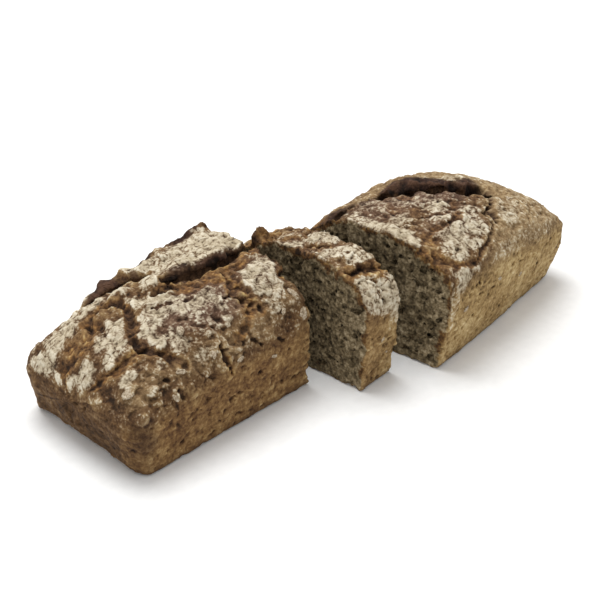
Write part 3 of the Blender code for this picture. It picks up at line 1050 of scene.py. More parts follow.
@dataclass
class CutPiece:
    """One cut piece of the loaf, standing in its place on the table. Sizes are in millimetres.

    Start and end are places along the uncut loaf. Pore sizes are the cell size, the radius as a share
    of it, and the cell number past which a cell holds a pore.
    """

    node: str
    start: float
    end: float
    x: float
    y: float
    turn: float
    voxel: float
    loaf: TinLoaf
    crust: Crust
    crumb_grain: Grain
    end_margin: float = 12.0
    end_round: float = 9.0
    end_wave: float = 1.8
    end_wave_size: float = 16.0
    end_foot: tuple[float, float] = (-8.0, 5.0)
    end_turn: tuple[float, float] = (1.0, 5.0)
    end_skin: tuple[float, float] = (8.0, 4.0)
    hollow_radius: float = 0.42
    hollow_shift: float = 0.75
    hollow_roof: float = 1.4
    hollow_reach: float = 8.0
    hollow_swing: float = 0.4
    hollow_swing_size: float = 7.0
    sheet: float = 0.9
    sheet_size: tuple[float, float, float] = (9.0, 3.5, 1.8)
    ear_ragged: float = 0.25
    ear_ragged_size: float = 5.0
    ear_foot: float = 1.6
    ear_floor: float = 40.0
    crumb_rough: float = 0.9
    crumb_rough_size: float = 7.0
    chip: float = 2.2
    chip_size: float = 5.0
    chip_reach: float = 3.5
    pore_depth: float = 3.6
    pore_start: tuple[float, float] = (1.5, 6.0)
    pore_growth: tuple[float, float] = (0.35, 1.2)
    pore_sizes: tuple[tuple[float, float, float], ...] = (
        (9.0, 0.34, 0.46), (5.0, 0.36, 0.38), (3.0, 0.38, 0.36)
    )
    cut_margin: float = 2.0
    grid_low: tuple[float, float] = (-62.0, -2.0)
    grid_high: tuple[float, float] = (60.0, 92.0)
    quick_factor: float = 1.7
    smoothing: float = 0.25
    crumb_start: tuple[float, float] = (0.35, 1.1)
    hollow_shade_from: tuple[float, float] = (0.9, 3.0)
    pale_from: tuple[float, float] = (100.0, 175.0)
    ear_above: tuple[float, float] = (-1.5, -3.0)
    ear_scorch: float = 0.3
    foot_shade_height: tuple[float, float] = (5.0, 0.5)
    foot_shade: float = 0.55
    rim_depth: float = 10.0

    def has_cut(self, at_end: bool) -> bool:
        """Whether the piece's first or last face was cut, and is not a tin end."""
        return self.end < self.loaf.length - 1 if at_end else self.start > 1

    def crust_depth(self, points: Array) -> tuple[Array, Array, Array, Array]:
        """Depth under the finished crust of the uncut loaf.

        Args:
            points: Places in the uncut loaf.

        Returns:
            The depth in millimetres, the share of tin end face, and the table's row and column.
        """
        depth, row, column = self.loaf.locate(points)
        smooth = depth + read_table(self.crust.height, row, column)
        s = row * self.loaf.step
        x, z = points[:, 0], points[:, 2]
        inward = np.minimum(x - self.loaf.lean(s, z), self.loaf.length - x + self.loaf.lean(s, z))
        near_end = np.flatnonzero(inward < self.end_margin)
        if len(near_end):
            spots = points[near_end]
            wave = self.crumb_grain.layered(spots, self.end_wave_size, 2)
            relief = self.end_wave * wave + self.crust.wall_relief(spots)
            inward = inward.copy()
            inward[near_end] += relief * ease(*self.end_foot, spots[:, 2])
        end_share = ease(*self.end_turn, depth - inward) * ease(*self.end_skin, inward)
        return soft_min(smooth, inward, self.end_round), end_share, row, column

    def cut_depth(self, points: Array) -> Array:
        """Distance inside the knife's cuts, in millimetres."""
        depth = np.full(len(points), 99.0, np.float32)
        if self.has_cut(False):
            depth = np.minimum(depth, points[:, 0] - self.start)
        if self.has_cut(True):
            depth = np.minimum(depth, self.end - points[:, 0])
        return depth

    def undercut(self, solid: Array, points: Array) -> Array:
        """Hollow the crust out under the far bank of the tears that have an overhang.

        Args:
            solid: Field of the piece, which is changed.
            points: Places in the uncut loaf.

        Returns:
            The field with the hollows.
        """
        for tear in self.crust.bake.tears:
            if not tear.under:
                continue
            radius = self.hollow_radius * tear.width
            shift = np.array((0.0, self.hollow_shift * tear.under, -radius - self.hollow_roof))
            route = np.array([self.loaf.surface_point(tear.face, *spot) for spot in tear.route]) + shift
            reach = radius + self.hollow_reach
            low, high = route.min(axis=0) - reach, route.max(axis=0) + reach
            near = np.flatnonzero(np.all((points > low) & (points < high), axis=1))
            if not len(near):
                continue
            spots = points[near]
            swing = self.crumb_grain.layered(spots, self.hollow_swing_size, 2)
            swing = 1.0 + self.hollow_swing * swing
            gap = distance_to_route(spots, route)
            sheets = self.crumb_grain.layered(spots + 15.0, self.sheet_size, 2)
            solid[near] += self.sheet * sheets * ease(reach, radius, gap)
            solid[near] = np.minimum(solid[near], gap - radius * swing)
        return solid

    def raise_ears(self, solid: Array, points: Array, depth: Array) -> Array:
        """Add the thin raised edges of crust.

        Args:
            solid: Field of the piece.
            points: Places in the uncut loaf.
            depth: Depth under the crust at those places.

        Returns:
            The field with the ears.
        """
        for ear in self.crust.bake.ears:
            route = np.array(ear.route, float)
            top = route[:, 2].max()
            near = np.flatnonzero(
                (points[:, 0] > route[0, 0]) & (points[:, 0] < route[-1, 0])
                & (depth < 4) & (depth > -top - 3) & (points[:, 2] > self.ear_floor)
            )
            if not len(near):
                continue
            spots, above = points[near], -depth[near]
            ragged = 1.0 + self.ear_ragged * self.crumb_grain.layered(spots, self.ear_ragged_size, 2)
            tall = np.interp(spots[:, 0], route[:, 0], route[:, 2]) * ragged
            middle = np.interp(spots[:, 0], route[:, 0], route[:, 1]) + ear.lean * above
            rise = np.clip(above / np.maximum(tall, 1.0), 0.0, 1.0)
            thick = ear.thickness * (self.ear_foot - rise) * ragged
            blade = np.minimum(thick - np.abs(spots[:, 1] - middle), tall - above)
            solid[near] = np.maximum(solid[near], blade)
        return solid

    def open_crumb(self, solid: Array, points: Array, depth: Array) -> Array:
        """Cut the piece's faces and open the pores behind them.

        Args:
            solid: Field of the piece.
            points: Places in the uncut loaf.
            depth: Depth under the crust at those places.

        Returns:
            The field with its cut faces.
        """
        inward = self.cut_depth(points)
        near = np.flatnonzero(inward < self.pore_depth + 1.0)
        spots = points[near]
        face = inward.astype(np.float32)
        face[near] += self.crumb_rough * self.crumb_grain.layered(spots, self.crumb_rough_size, 3)
        chipped = np.clip(self.crumb_grain.layered(spots + 40.0, self.chip_size, 2), 0.0, 1.0)
        face[near] -= self.chip * chipped * ease(self.chip_reach, 0.0, depth[near])
        solid = np.minimum(solid, face)
        fade = ease(*self.pore_start, depth[near])
        fade = fade * ease(self.pore_depth + 0.8, self.pore_depth, inward[near])
        least, most = self.pore_growth
        for size, radius, threshold in self.pore_sizes:
            first, _, tag = self.crumb_grain.cells(spots, (size, size, size * 0.8))
            grown = np.clip((tag - threshold) / (1.0 - threshold) + least, 0.0, most)
            grown = radius * grown * (tag > threshold)
            void = (first - grown * fade) * size
            solid[near] = np.where(grown * fade > 0.05, np.minimum(solid[near], void), solid[near])
        return solid

    def solid_at(self, points: Array) -> Array:
        """Field of the piece, above zero inside it."""
        depth, _, _, _ = self.crust_depth(points)
        solid = self.undercut(depth.astype(np.float32).copy(), points)
        solid = self.raise_ears(solid, points, depth)
        return self.open_crumb(solid, points, depth)

    def grid(self) -> tuple[Array, tuple[int, ...], Array]:
        """Grid points around the piece, the grid's shape and its first corner."""
        voxel = self.voxel * 1.0
        before, after = (self.cut_margin if self.has_cut(end) else self.end_margin for end in (False, True))
        low = np.array((self.start - before, *self.grid_low))
        high = np.array((self.end + after, *self.grid_high))
        axes = [np.arange(low[axis], high[axis], voxel, dtype=np.float32) for axis in range(3)]
        grid = np.stack(np.meshgrid(*axes, indexing="ij"), axis=-1)
        return grid.reshape(-1, 3), grid.shape[:3], low

    def build(self) -> bpy.types.Object:
        """Make the piece's closed mesh in the uncut loaf's place, with its marks.

        Returns:
            The new object, with the marks that its finish reads as mesh attributes.
        """
        points, shape, low = self.grid()
        voxel = float(points[1, 2] - points[0, 2])
        solid = self.solid_at(points).reshape(shape)
        spots, quads = keep_largest_shell(*level_surface(solid))
        spots = relax(spots * voxel + low, quads, self.smoothing)
        spots[:, 2] = np.maximum(spots[:, 2], 0.0)
        mesh = bpy.data.meshes.new(self.node + "_bread")
        mesh.from_pydata((spots * MM).tolist(), [], quads.tolist())
        mesh.shade_smooth()
        for name, values in self.marks(spots).items():
            mesh.attributes.new(name, "FLOAT", "POINT").data.foreach_set("value", values.astype(np.float32))
        obj = bpy.data.objects.new(self.node + "_bread", mesh)
        bpy.context.scene.collection.objects.link(obj)
        return obj

    def marks(self, spots: Array) -> dict[str, Array]:
        """What each surface point shows: flour, torn crust, crumb, painted shade and so on, from 0 to 1.

        Args:
            spots: Surface points in the uncut loaf.

        Returns:
            Values by name.
        """
        spots = spots.astype(np.float32)
        depth, end_share, row, column = self.crust_depth(spots)
        inward = self.cut_depth(spots)
        marks = {name: read_table(mask, row, column) for name, mask in self.crust.masks.items()}
        crumb = ease(*self.crumb_start, depth)
        crumb = crumb * ease(self.pore_depth + 1.2, self.pore_depth + 0.4, inward)
        # Painted shade: crust deep under the surface, in the hollows under overhanging banks, is darkened
        # through the crack mark.
        hollow_shade = ease(*self.hollow_shade_from, depth) * (1 - crumb)
        for name in ("flour", "torn", "scorch"):
            marks[name] = marks[name] * (1 - end_share)
        marks["pale"] = ease(*self.pale_from, spots[:, 0])
        raised = ease(*self.ear_above, depth)
        marks["flour"] = marks["flour"] * (1 - raised)
        # Painted contact shade: a dark band along the foot, fading out 5 mm above the table, where the
        # crust meets the floor.
        foot = ease(*self.foot_shade_height, spots[:, 2]) * (1 - crumb)
        for scorch in (self.ear_scorch * raised, self.foot_shade * foot):
            marks["scorch"] = np.maximum(marks["scorch"], scorch)
        marks["side"] = np.maximum(marks["side"], end_share)
        marks["crack"] = np.maximum(marks["crack"], hollow_shade)
        marks["crumb"] = crumb
        low = 0.8 * ease(9.0, 4.0, spots[:, 2])
        marks["under"] = np.maximum(np.clip(depth / self.rim_depth, 0.0, 1.0), low)
        # Painted shade: the tin end faces get a darker copy of the wall colour, standing in for the shade
        # that falls on them.
        marks["tin_end"] = end_share
        return marks

    def to_table(self, home: Vector) -> Matrix:
        """Transform from the uncut loaf to the piece's place in the row frame, in metres.

        Args:
            home: Where the layout's origin is in the row frame.

        Returns:
            The transform.
        """
        stand = Matrix.Translation(home + Vector((self.x, self.y, 0.0)) * MM)
        turn = Matrix.Rotation(math.radians(self.turn), 4, "Z")
        return stand @ turn @ Matrix.Translation(Vector((-self.start, 0.0, 0.0)) * MM)


# ---------------------------------------------------------------------------------------------
# Oat flakes and seeds stuck to the crust
# ---------------------------------------------------------------------------------------------


@dataclass(frozen=True)
class Topping:
    """One flake or seed on the crust. Sizes are in millimetres, turn in degrees."""

    s: float
    across: float
    face: Face
    long: float
    wide: float
    thick: float
    turn: float
    lift: float = 0.3


@dataclass
class ToppingSet:
    """The flakes or seeds that ride on one cut piece, as one mesh of closed grains.

    Crease, cup and waver are shares of a grain's thickness, width and radius.
    """

    name: str
    piece: CutPiece
    grains: tuple[Topping, ...]
    rounds: int = 14
    rings: int = 7
    crease: float = 0.35
    crease_width: float = 0.16
    cup: float = 0.12
    waver: float = 0.10
    roundness: float = 0.6

    def seat(self, grain: Topping) -> Matrix:
        """Transform that lays a grain flat on the crust.

        Args:
            grain: The grain.

        Returns:
            Transform in the uncut loaf, in millimetres.
        """
        crust = self.piece.crust
        loaf = crust.loaf
        point = Vector(loaf.surface_point(grain.face, grain.s, grain.across))
        along = Vector(loaf.surface_point(grain.face, grain.s + 2, grain.across)) - point
        over = Vector(loaf.surface_point(grain.face, grain.s, grain.across + 2)) - point
        along.normalize()
        normal = along.cross(over).normalized()
        outward = Vector((0.0, point.y, point.z - loaf.axis_height))
        if normal.dot(outward) < 0:
            normal = -normal
        _, row, column = loaf.locate(np.array([point], np.float32))
        rise = float(read_table(crust.height, row, column)[0])
        side = normal.cross(along).normalized()
        frame_matrix = Matrix((along, side, normal)).transposed().to_4x4()
        seat = Matrix.Translation(point + normal * (rise + grain.lift)) @ frame_matrix
        return seat @ Matrix.Rotation(math.radians(grain.turn), 4, "Z")

    def grain_points(self, grain: Topping, seed: int) -> list[Vector]:
        """Points of one closed grain, pole to pole, ring by ring.

        Args:
            grain: The grain.
            seed: Number that fixes how its edge wavers.

        Returns:
            Points in the uncut loaf, in millimetres.
        """
        draw = np.random.default_rng(seed)
        waver = 1.0 + draw.uniform(-self.waver, self.waver, self.rounds)
        seat = self.seat(grain)
        points = [seat @ Vector((0.0, 0.0, -0.5 * grain.thick))]
        for ring in range(1, self.rings):
            level = math.pi * ring / self.rings
            for k in range(self.rounds):
                angle = 2 * math.pi * k / self.rounds
                out = math.sin(level) ** self.roundness * waver[k]
                x = 0.5 * grain.long * out * math.cos(angle)
                y = 0.5 * grain.wide * out * math.sin(angle)
                fold = self.crease * grain.thick * (0.5 - 0.5 * math.cos(level))
                fold *= math.exp(-((y / (self.crease_width * grain.wide)) ** 2))
                curl = self.cup * grain.wide * (2 * x / grain.long) ** 2
                z = -0.5 * grain.thick * math.cos(level) - fold - curl
                points.append(seat @ Vector((x, y, z)))
        points.append(seat @ Vector((0.0, 0.0, (0.5 - self.crease) * grain.thick)))
        return points

    def build(self) -> bpy.types.Object:
        """Make the mesh of all the grains in the uncut loaf's place.

        Returns:
            The new object.
        """
        places, faces = [], []
        for number, grain in enumerate(self.grains):
            base = len(places)
            places += self.grain_points(grain, number)
            last = len(places) - 1
            for k in range(self.rounds):
                after = (k + 1) % self.rounds
                faces.append((base, base + 1 + after, base + 1 + k))
                for ring in range(self.rings - 2):
                    low, high = base + 1 + ring * self.rounds, base + 1 + (ring + 1) * self.rounds
                    faces.append((low + k, low + after, high + after, high + k))
                top = base + 1 + (self.rings - 2) * self.rounds
                faces.append((top + k, top + after, last))
        mesh = bpy.data.meshes.new(self.name)
        mesh.from_pydata([place * MM for place in places], [], faces)
        mesh.shade_smooth()
        obj = bpy.data.objects.new(self.name, mesh)
        bpy.context.scene.collection.objects.link(obj)
        return obj


# ---------------------------------------------------------------------------------------------
# Finishes
# ---------------------------------------------------------------------------------------------


def linear(code: str) -> tuple[float, float, float, float]:
    """Linear colour of an sRGB hex code.

    Args:
        code: Colour such as "#c3b8a3".

    Returns:
        Red, green, blue and alpha.
    """
    parts = [int(code[k : k + 2], 16) / 255 for k in (1, 3, 5)]
    parts = [part / 12.92 if part <= 0.04045 else ((part + 0.055) / 1.055) ** 2.4 for part in parts]
    return (*parts, 1.0)


class Graph:
    """Node tree of one material."""

    def __init__(self, name: str) -> None:
        """Start an empty material.

        Args:
            name: The material's name.
        """
        self.material = bpy.data.materials.new(name)
        self.material.use_nodes = True
        self.tree = self.material.node_tree
        self.tree.nodes.clear()

    def add(self, kind: str, inputs: dict | None = None, out: int | str = 0,
            stops: tuple = (), **settings: object) -> bpy.types.NodeSocket:
        """Add a node with its settings and links.

        Args:
            kind: Node type without its ShaderNode prefix.
            inputs: Value, or socket to link, for each input by name or number.
            out: The output that is wanted, by name or number.
            stops: Places and hex colours, or grey levels, for a ramp.
            settings: The node's own settings.

        Returns:
            The wanted output, or the node itself where it has none.
        """
        node = self.tree.nodes.new("ShaderNode" + kind)
        for name, value in settings.items():
            setattr(node, name, value)
        for key, value in (inputs or {}).items():
            if isinstance(value, bpy.types.NodeSocket):
                self.tree.links.new(value, node.inputs[key])
            else:
                node.inputs[key].default_value = value
        while stops and len(node.color_ramp.elements) < len(stops):
            node.color_ramp.elements.new(0.5)
        for element, (place, colour) in zip(node.color_ramp.elements if stops else (), stops):
            element.position = place
            element.color = linear(colour) if isinstance(colour, str) else (colour, colour, colour, 1.0)
        return node.outputs[out] if len(node.outputs) else node


def per_metre(size: float) -> float:
    """Noise scale that gives features of this size in millimetres."""
    return 1.0 / (size * MM)


def shades(*codes: str, steps: tuple[float, ...] = (0.14, 0.36, 0.54, 0.72, 0.92)) -> tuple:
    """Stops of a ramp from dark to light. Where the tone holds the relief mark, the dark end is painted
    shade in the hollows and the light end painted light on the crests.

    Args:
        codes: Hex colours, one for each step.
        steps: Where the colours stand.

    Returns:
        Places and colours.
    """
    return tuple(zip(steps, codes))


@dataclass(frozen=True)
class BreadFinish:
    """Rye bread baked in a tin: a dull crust dusted with flour, and a dense brown crumb.

    A dry crust scatters light almost evenly, so it has no gloss beyond a faint wide sheen. The eye
    reads it from crisp flour that stops at torn edges, from dark cracks, and from bran flecks. Part of
    the colour is painted light: shade in the hollows, the tears, the hollows under overhangs, the tin
    ends and the foot, and light on the crests. Sizes are in millimetres, and weights say how strongly
    each noise or mark counts in a blend.
    """

    blotch: float = 16.0
    scale: float = 7.0
    bran: float = 3.6
    speck: float = 1.4
    plain: tuple = shades("#281b10", "#523a24", "#6e5336", "#896f4c", "#a78f69")
    plum: tuple = shades("#271a13", "#4f3a2c", "#6a5141", "#86705a", "#a8947a")
    side: tuple = shades("#2c1b0d", "#60442a", "#7f603b", "#9d7f54", "#bba273")
    pale: tuple = shades("#48361f", "#866b43", "#a68b5d", "#c0a779", "#d6c399")
    # Tin end faces: the wall colour darkened with painted shade.
    tin_end: tuple = shades("#20150c", "#45311e", "#5d442c", "#775d40", "#967e5d")
    tan: tuple = shades("#4a3823", "#7d6546", "#98805d", "#b09a77", "#c8b694")
    torn: tuple = shades("#2a1b10", "#55391f", "#7a5630", "#9b7644", "#bba06c")
    flour: tuple = shades("#7c6c54", "#a6977d", "#c0b39a", "#d8cfba", steps=(0.14, 0.34, 0.54, 0.80))
    # Scorched crust; the same colour is painted shade along the overhanging tears and at the foot.
    scorch: tuple = shades("#1a110c", "#35231a", "#533b2c", steps=(0.20, 0.50, 0.80))
    # Painted shade at the bottom of the tears and in the hollows under their banks.
    crack: tuple = shades("#24170e", "#463223", "#6c513a", steps=(0.20, 0.50, 0.80))
    crumb: tuple = shades(
        "#201911", "#4e422e", "#74654b", "#9c8b6e", "#c6b697", steps=(0.12, 0.34, 0.54, 0.74, 0.92)
    )
    rim: tuple = shades("#2c1c10", "#644728", "#96743f", steps=(0.20, 0.50, 0.80))
    tone_and_shade_weights: tuple = (0.7, 0.7, 0.6, 0.6)
    dust_weights: tuple = (1.3, 1.6, 0.6)
    crumb_weights: tuple = (0.5, 1.1, 0.8)
    rim_weights: tuple = (0.9, 1.6)
    dust_range: tuple[float, float] = (0.30, 1.00)
    most_dust: float = 0.95
    rust_range: tuple[float, float] = (0.44, 0.64)
    least_rust: float = 0.2
    rim_range: tuple[float, float] = (0.40, 0.16)
    crackle_width: tuple[float, float] = (0.08, 0.01)
    crackle_where: tuple[float, float] = (0.36, 0.54)
    crackle_waver: float = 3.0
    crackle_bare: float = 0.50
    crackle_sink: float = 0.6
    bump_strength: float = 0.6
    bump_height: float = 1.0
    roughness: float = 0.92
    specular: float = 0.25
    ior: float = 1.45
    marks: tuple[str, ...] = (
        "flour", "torn", "scorch", "plum", "tan", "crack",
        "side", "relief", "crumb", "under", "tin_end", "pale",
    )

    def build(self) -> bpy.types.Material:
        """Make the material."""
        graph = Graph("rye_bread_crust_and_crumb")
        place = graph.add("TexCoord", out="Object")
        marks = {name: graph.add("Attribute", out="Fac", attribute_name=name) for name in self.marks}
        noises = {
            name: graph.add("TexNoise", {"Vector": place, "Scale": per_metre(size), "Detail": 3.0})
            for name, size in (("blotch", self.blotch), ("bran", self.bran), ("speck", self.speck))
        }
        noises["crackle"] = self.crackle_lines(graph, place, noises["blotch"])
        # The relief mark in the tone paints shade in the hollows and light on the crests.
        parts = (noises["blotch"], noises["bran"], noises["speck"], marks["relief"])
        tone = self.blend_tone(graph, parts, self.tone_and_shade_weights)
        crust = self.crust_colour(graph, marks, noises, tone)
        crumb = self.crumb_colour(graph, marks, noises)
        colour = graph.add("Mix", {0: marks["crumb"], 6: crust, 7: crumb}, out=2, data_type="RGBA")
        fine = graph.add("Math", {0: noises["bran"], 1: noises["speck"]}, operation="ADD")
        sunk = {0: noises["crackle"], 1: -self.crackle_sink, 2: fine}
        fine = graph.add("Math", sunk, operation="MULTIPLY_ADD")
        rough = {"Height": fine, "Strength": self.bump_strength, "Distance": self.bump_height * MM}
        bump = graph.add("Bump", rough)
        shader = graph.add(
            "BsdfPrincipled",
            {
                "Base Color": colour,
                "Roughness": self.roughness,
                "Specular IOR Level": self.specular,
                "IOR": self.ior,
                "Normal": bump,
            },
        )
        graph.add("OutputMaterial", {"Surface": shader})
        return graph.material

    def crackle_lines(self, graph: Graph, place: bpy.types.NodeSocket,
                      blotch: bpy.types.NodeSocket) -> bpy.types.NodeSocket:
        """Thin drying cracks between the crust's small scales, 1 along each crack.

        Args:
            graph: The material's nodes.
            place: Object coordinates.
            blotch: Noise that makes the cracks come and go.

        Returns:
            The cracks.
        """
        fine = {"Vector": place, "Scale": per_metre(self.bran), "Detail": 2.0}
        waver = graph.add("TexNoise", fine, out="Color")
        waver = graph.add("VectorMath", {0: waver, 3: self.crackle_waver * MM}, operation="SCALE")
        shift = graph.add("VectorMath", {0: place, 1: waver}, operation="ADD")
        scales = {"Vector": shift, "Scale": per_metre(self.scale)}
        edge = graph.add("TexVoronoi", scales, feature="DISTANCE_TO_EDGE")
        line, here = (
            graph.add("MapRange", {"Value": value, "From Min": start, "From Max": end},
                      interpolation_type="SMOOTHSTEP")
            for value, (start, end) in ((edge, self.crackle_width), (blotch, self.crackle_where))
        )
        return graph.add("Math", {0: line, 1: here}, operation="MULTIPLY")

    def blend_tone(self, graph: Graph, parts: tuple, weights: tuple,
                   start: bpy.types.NodeSocket | float = 0.5) -> bpy.types.NodeSocket:
        """Sum of noises and marks around their middle.

        Args:
            graph: The material's nodes.
            parts: Sockets whose middle is one half.
            weights: How strongly each counts.
            start: What the sum starts from.

        Returns:
            The sum.
        """
        for part, weight in zip(parts, weights):
            centred = graph.add("Math", {0: part, 1: weight, 2: -0.5 * weight}, operation="MULTIPLY_ADD")
            start = graph.add("Math", {0: centred, 1: start}, operation="ADD")
        return start

    def crust_colour(self, graph: Graph, marks: dict, noises: dict,
                     tone: bpy.types.NodeSocket) -> bpy.types.NodeSocket:
        """Colour of the crust.

        Args:
            graph: The material's nodes.
            marks: Mesh marks by name.
            noises: Noises by name.
            tone: Light and dark over the whole bread, with painted shade in the hollows and painted light
                on the crests.

        Returns:
            The colour.
        """
        names = ("plain", "plum", "tan", "side", "pale", "tin_end", "torn", "scorch", "crack", "flour")
        ramps = {name: graph.add("ValToRGB", {"Fac": tone}, stops=getattr(self, name)) for name in names}
        low, high = self.rust_range
        rusty = {"Value": noises["bran"], "From Min": low, "From Max": high, "To Min": self.least_rust}
        rusty = graph.add("Math", {0: marks["torn"], 1: graph.add("MapRange", rusty)}, operation="MULTIPLY")
        walls = {0: marks["pale"], 6: ramps["side"], 7: ramps["pale"]}
        wall = graph.add("Mix", walls, out=2, data_type="RGBA")
        colour = ramps["plain"]
        for share, layer in (
            (marks["plum"], ramps["plum"]),
            (marks["tan"], ramps["tan"]),
            (marks["side"], wall),
            (marks["tin_end"], ramps["tin_end"]),
            (rusty, ramps["torn"]),
            (marks["scorch"], ramps["scorch"]),
        ):
            colour = graph.add("Mix", {0: share, 6: colour, 7: layer}, out=2, data_type="RGBA")
        parts = (noises["bran"], noises["speck"], marks["relief"])
        dust = self.blend_tone(graph, parts, self.dust_weights, marks["flour"])
        bared = {0: noises["crackle"], 1: -self.crackle_bare, 2: dust}
        dust = graph.add("Math", bared, operation="MULTIPLY_ADD")
        floured = graph.add("MapRange", {"Value": marks["flour"], "From Max": 0.20})
        low, high = self.dust_range
        lying = {"Value": dust, "From Min": low, "From Max": high, "To Max": self.most_dust}
        dust = graph.add("MapRange", lying)
        dust = graph.add("Math", {0: dust, 1: floured}, operation="MULTIPLY")
        colour = graph.add("Mix", {0: dust, 6: colour, 7: ramps["flour"]}, out=2, data_type="RGBA")
        return graph.add("Mix", {0: marks["crack"], 6: colour, 7: ramps["crack"]}, out=2, data_type="RGBA")

    def crumb_colour(self, graph: Graph, marks: dict, noises: dict) -> bpy.types.NodeSocket:
        """Colour of the cut crumb.

        Args:
            graph: The material's nodes.
            marks: Mesh marks by name.
            noises: Noises by name.

        Returns:
            The colour.
        """
        parts = (noises["blotch"], noises["bran"], noises["speck"])
        tone = self.blend_tone(graph, parts, self.crumb_weights)
        crumb = graph.add("ValToRGB", {"Fac": tone}, stops=self.crumb)
        edge = self.blend_tone(graph, (noises["bran"], noises["blotch"]), self.rim_weights, marks["under"])
        start, end = self.rim_range
        near = {"Value": edge, "From Min": start, "From Max": end}
        rim = graph.add("MapRange", near, interpolation_type="SMOOTHSTEP")
        shell = graph.add("ValToRGB", {"Fac": tone}, stops=self.rim)
        return graph.add("Mix", {0: rim, 6: crumb, 7: shell}, out=2, data_type="RGBA")


@dataclass(frozen=True)
class GrainFinish:
    """Rolled oat flakes and seeds: pale, dry and slightly waxy, with fine lines along the grain."""

    colours: tuple = ((0.30, "#75634a"), (0.50, "#a5937a"), (0.70, "#cbbfa9"))
    line: float = 0.9
    bump_strength: float = 0.4
    bump_height: float = 0.2
    roughness: float = 0.72
    ior: float = 1.45

    def build(self) -> bpy.types.Material:
        """Make the material."""
        graph = Graph("rolled_oats_and_seeds")
        place = graph.add("TexCoord", out="Object")
        lines = graph.add("TexNoise", {"Vector": place, "Scale": per_metre(self.line), "Detail": 3.0})
        colour = graph.add("ValToRGB", {"Fac": lines}, stops=self.colours)
        rough = {"Height": lines, "Strength": self.bump_strength, "Distance": self.bump_height * MM}
        bump = graph.add("Bump", rough)
        shader = graph.add(
            "BsdfPrincipled",
            {"Base Color": colour, "Roughness": self.roughness, "IOR": self.ior, "Normal": bump},
        )
        graph.add("OutputMaterial", {"Surface": shader})
        return graph.material


@dataclass(frozen=True)
class PaperFinish:
    """Matt white background paper, which stays almost pure white under soft light."""

    colours: tuple = ((0.3, "#f4f4f3"), (0.7, "#f8f8f7"))
    tooth: float = 6.0
    roughness: float = 1.0

    def build(self) -> bpy.types.Material:
        """Make the material."""
        graph = Graph("matt_background_paper")
        place = graph.add("TexCoord", out="Object")
        tooth = graph.add("TexNoise", {"Vector": place, "Scale": per_metre(self.tooth), "Detail": 2.0})
        colour = graph.add("ValToRGB", {"Fac": tooth}, stops=self.colours)
        shader = graph.add(
            "BsdfPrincipled", {"Base Color": colour, "Roughness": self.roughness, "Specular IOR Level": 0.0}
        )
        graph.add("OutputMaterial", {"Surface": shader})
        return graph.material


# ---------------------------------------------------------------------------------------------
# Studio
# ---------------------------------------------------------------------------------------------


@dataclass
class Studio:
    """White paper floor, soft light from above and the camera.

    The floor's half width, the lamp's place and size are in metres, other lengths in millimetres.
    """

    floor_half: float = 6.0
    floor_drop: float = 0.3
    eye: tuple[float, float, float] = (-447.15, -404.23, 372.35)
    target: tuple[float, float, float] = (24.20, 46.61, 0.0)
    lens: float = 69.0
    sensor: float = 36.0
    sky: float = 0.70
    lamp_place: tuple[float, float, float] = (0.08, 0.46, 1.40)
    lamp_size: float = 1.1
    lamp_power: float = 18.5

    def build(self) -> None:
        """Set up the floor, the light and the camera."""
        self.lay_floor()
        self.light()
        self.set_camera()

    def lay_floor(self) -> None:
        """Lay the paper just under the loaf."""
        half, drop = self.floor_half, -self.floor_drop * MM
        mesh = bpy.data.meshes.new("paper_floor")
        corners = [(-half, -half, drop), (half, -half, drop), (half, half, drop), (-half, half, drop)]
        mesh.from_pydata(corners, [], [(0, 1, 2, 3)])
        mesh.materials.append(PaperFinish().build())
        floor = bpy.data.objects.new("paper_floor", mesh)
        bpy.context.scene.collection.objects.link(floor)

    def light(self) -> None:
        """Add the even white sky, and one wide soft lamp that points at the loaf."""
        world = bpy.data.worlds.new("white_room")
        world.use_nodes = True
        background = world.node_tree.nodes["Background"]
        background.inputs["Color"].default_value = (1.0, 1.0, 1.0, 1.0)
        background.inputs["Strength"].default_value = self.sky
        bpy.context.scene.world = world
        lamp = bpy.data.lights.new("soft_box", "AREA")
        lamp.shape = "DISK"
        lamp.size = self.lamp_size
        lamp.energy = self.lamp_power
        obj = bpy.data.objects.new(lamp.name, lamp)
        obj.location = self.lamp_place
        obj.rotation_euler = Vector(self.lamp_place).to_track_quat("Z", "Y").to_euler()
        bpy.context.scene.collection.objects.link(obj)

    def set_camera(self) -> None:
        """Stand the camera to the left of the near side, looking down at the loaf."""
        camera = bpy.data.cameras.new("camera")
        camera.lens = self.lens
        camera.sensor_width = self.sensor
        camera.clip_end = 50.0
        obj = bpy.data.objects.new("camera", camera)
        eye, target = Vector(self.eye) * MM, Vector(self.target) * MM
        obj.location = eye
        obj.rotation_euler = (eye - target).to_track_quat("Z", "Y").to_euler()
        bpy.context.scene.collection.objects.link(obj)
        bpy.context.scene.camera = obj
        bpy.context.scene.view_settings.view_transform = "Standard"


# ---------------------------------------------------------------------------------------------
# The whole scene
# ---------------------------------------------------------------------------------------------

# Each piece's CAD solid, first and last place along the loaf, x and y on the table, turn in degrees,
# and voxel size. The fine pieces are the ones whose cut faces show.
PLACINGS = (
    ("front_half", 0.0, 121.5, -121.5, 0.0, 0.0, 0.935),
    ("slice", 122.3, 149.8, 13.4, -26.8, 2.55, 0.745),
    ("rear_half", 150.6, 295.6, 59.9, -42.9, 4.54, 1.1),
)
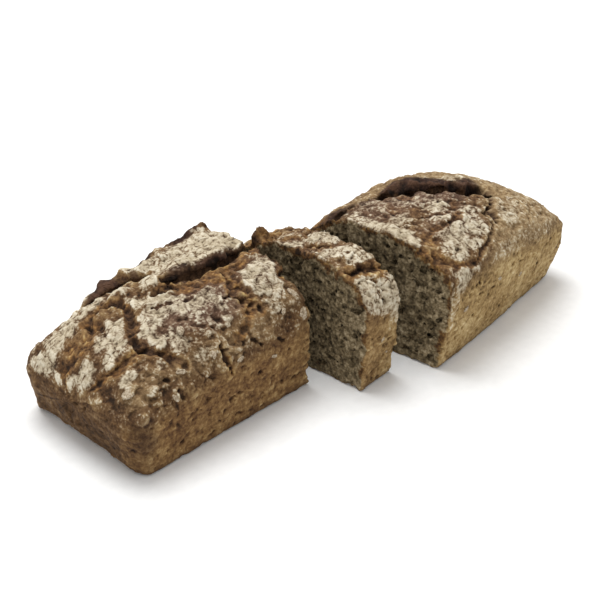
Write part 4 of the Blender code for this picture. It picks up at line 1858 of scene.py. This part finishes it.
# Lowest corner of the front half's CAD solid, in the layout that PLACINGS uses.
FORM_CORNER = (-128.5, -51.0, 0.0)
OATS = {
    "front_half": (
        Topping(117, 50, Face.NEAR, 8.5, 5.5, 1.8, 75), Topping(45, -29, Face.TOP, 6.0, 4.0, 2.4, 60, 0.8),
        Topping(116, -42, Face.TOP, 9.0, 3.4, 1.6, 110), Topping(8, 44, Face.NEAR, 7.0, 5.5, 1.6, 40),
        Topping(66, 44, Face.NEAR, 5.0, 2.4, 1.0, 15), Topping(92, 34, Face.NEAR, 5.0, 2.2, 1.0, 160),
        Topping(24, 40, Face.NEAR, 5.0, 2.6, 1.0, 120), Topping(104, -46, Face.TOP, 5.0, 2.6, 1.2, 45),
        Topping(32, -44, Face.TOP, 6.0, 2.8, 1.4, 150), Topping(52, -46, Face.TOP, 5.0, 2.6, 1.2, 65),
    ),
    "slice": (
        Topping(136, 30, Face.NEAR, 5.0, 2.4, 1.0, 80), Topping(143, 18, Face.NEAR, 4.5, 2.2, 0.9, 20),
    ),
    "rear_half": (
        Topping(168, 36, Face.NEAR, 5.0, 2.6, 1.0, 30), Topping(206, 40, Face.NEAR, 5.0, 2.4, 1.0, 150),
        Topping(172, 8, Face.TOP, 6.0, 3.4, 1.4, 40), Topping(236, 30, Face.NEAR, 4.5, 2.4, 0.9, 60),
        Topping(256, -30, Face.TOP, 5.0, 2.8, 1.2, 15), Topping(244, 4, Face.TOP, 5.0, 2.8, 1.2, 130),
    ),
}


def dress(obj: bpy.types.Object, material: bpy.types.Material, place: Matrix, node: str | None) -> None:
    """Put a piece in its place with its finish, and tie it to the frame.

    Args:
        obj: The piece.
        material: Its finish.
        place: Its transform, in metres.
        node: The CAD solid that it stands for, if any.
    """
    obj.data.materials.append(material)
    obj.matrix_world = place
    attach(obj, BODY)
    if node:
        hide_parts(node)
    LOG.info("%s: %d points, %d faces", obj.name, len(obj.data.vertices), len(obj.data.polygons))


def main() -> None:
    """Build the loaf, its finishes and the studio."""
    logging.basicConfig(level=logging.INFO, format="%(message)s")
    loaf = TinLoaf()
    crust = Crust(loaf, Bake(), Grain(7))
    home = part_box("front_half")[0] - Vector(FORM_CORNER) * MM
    home.z = 0.0
    bread, oats = BreadFinish().build(), GrainFinish().build()
    for node, start, end, x, y, turn, voxel in PLACINGS:
        piece = CutPiece(node, start, end, x, y, turn, voxel, loaf, crust, Grain(21))
        place = piece.to_table(home)
        dress(piece.build(), bread, place, node)
        dress(ToppingSet(f"{node}_oats", piece, OATS[node]).build(), oats, place, None)
    Studio().build()


if __name__ == "__main__":
    main()
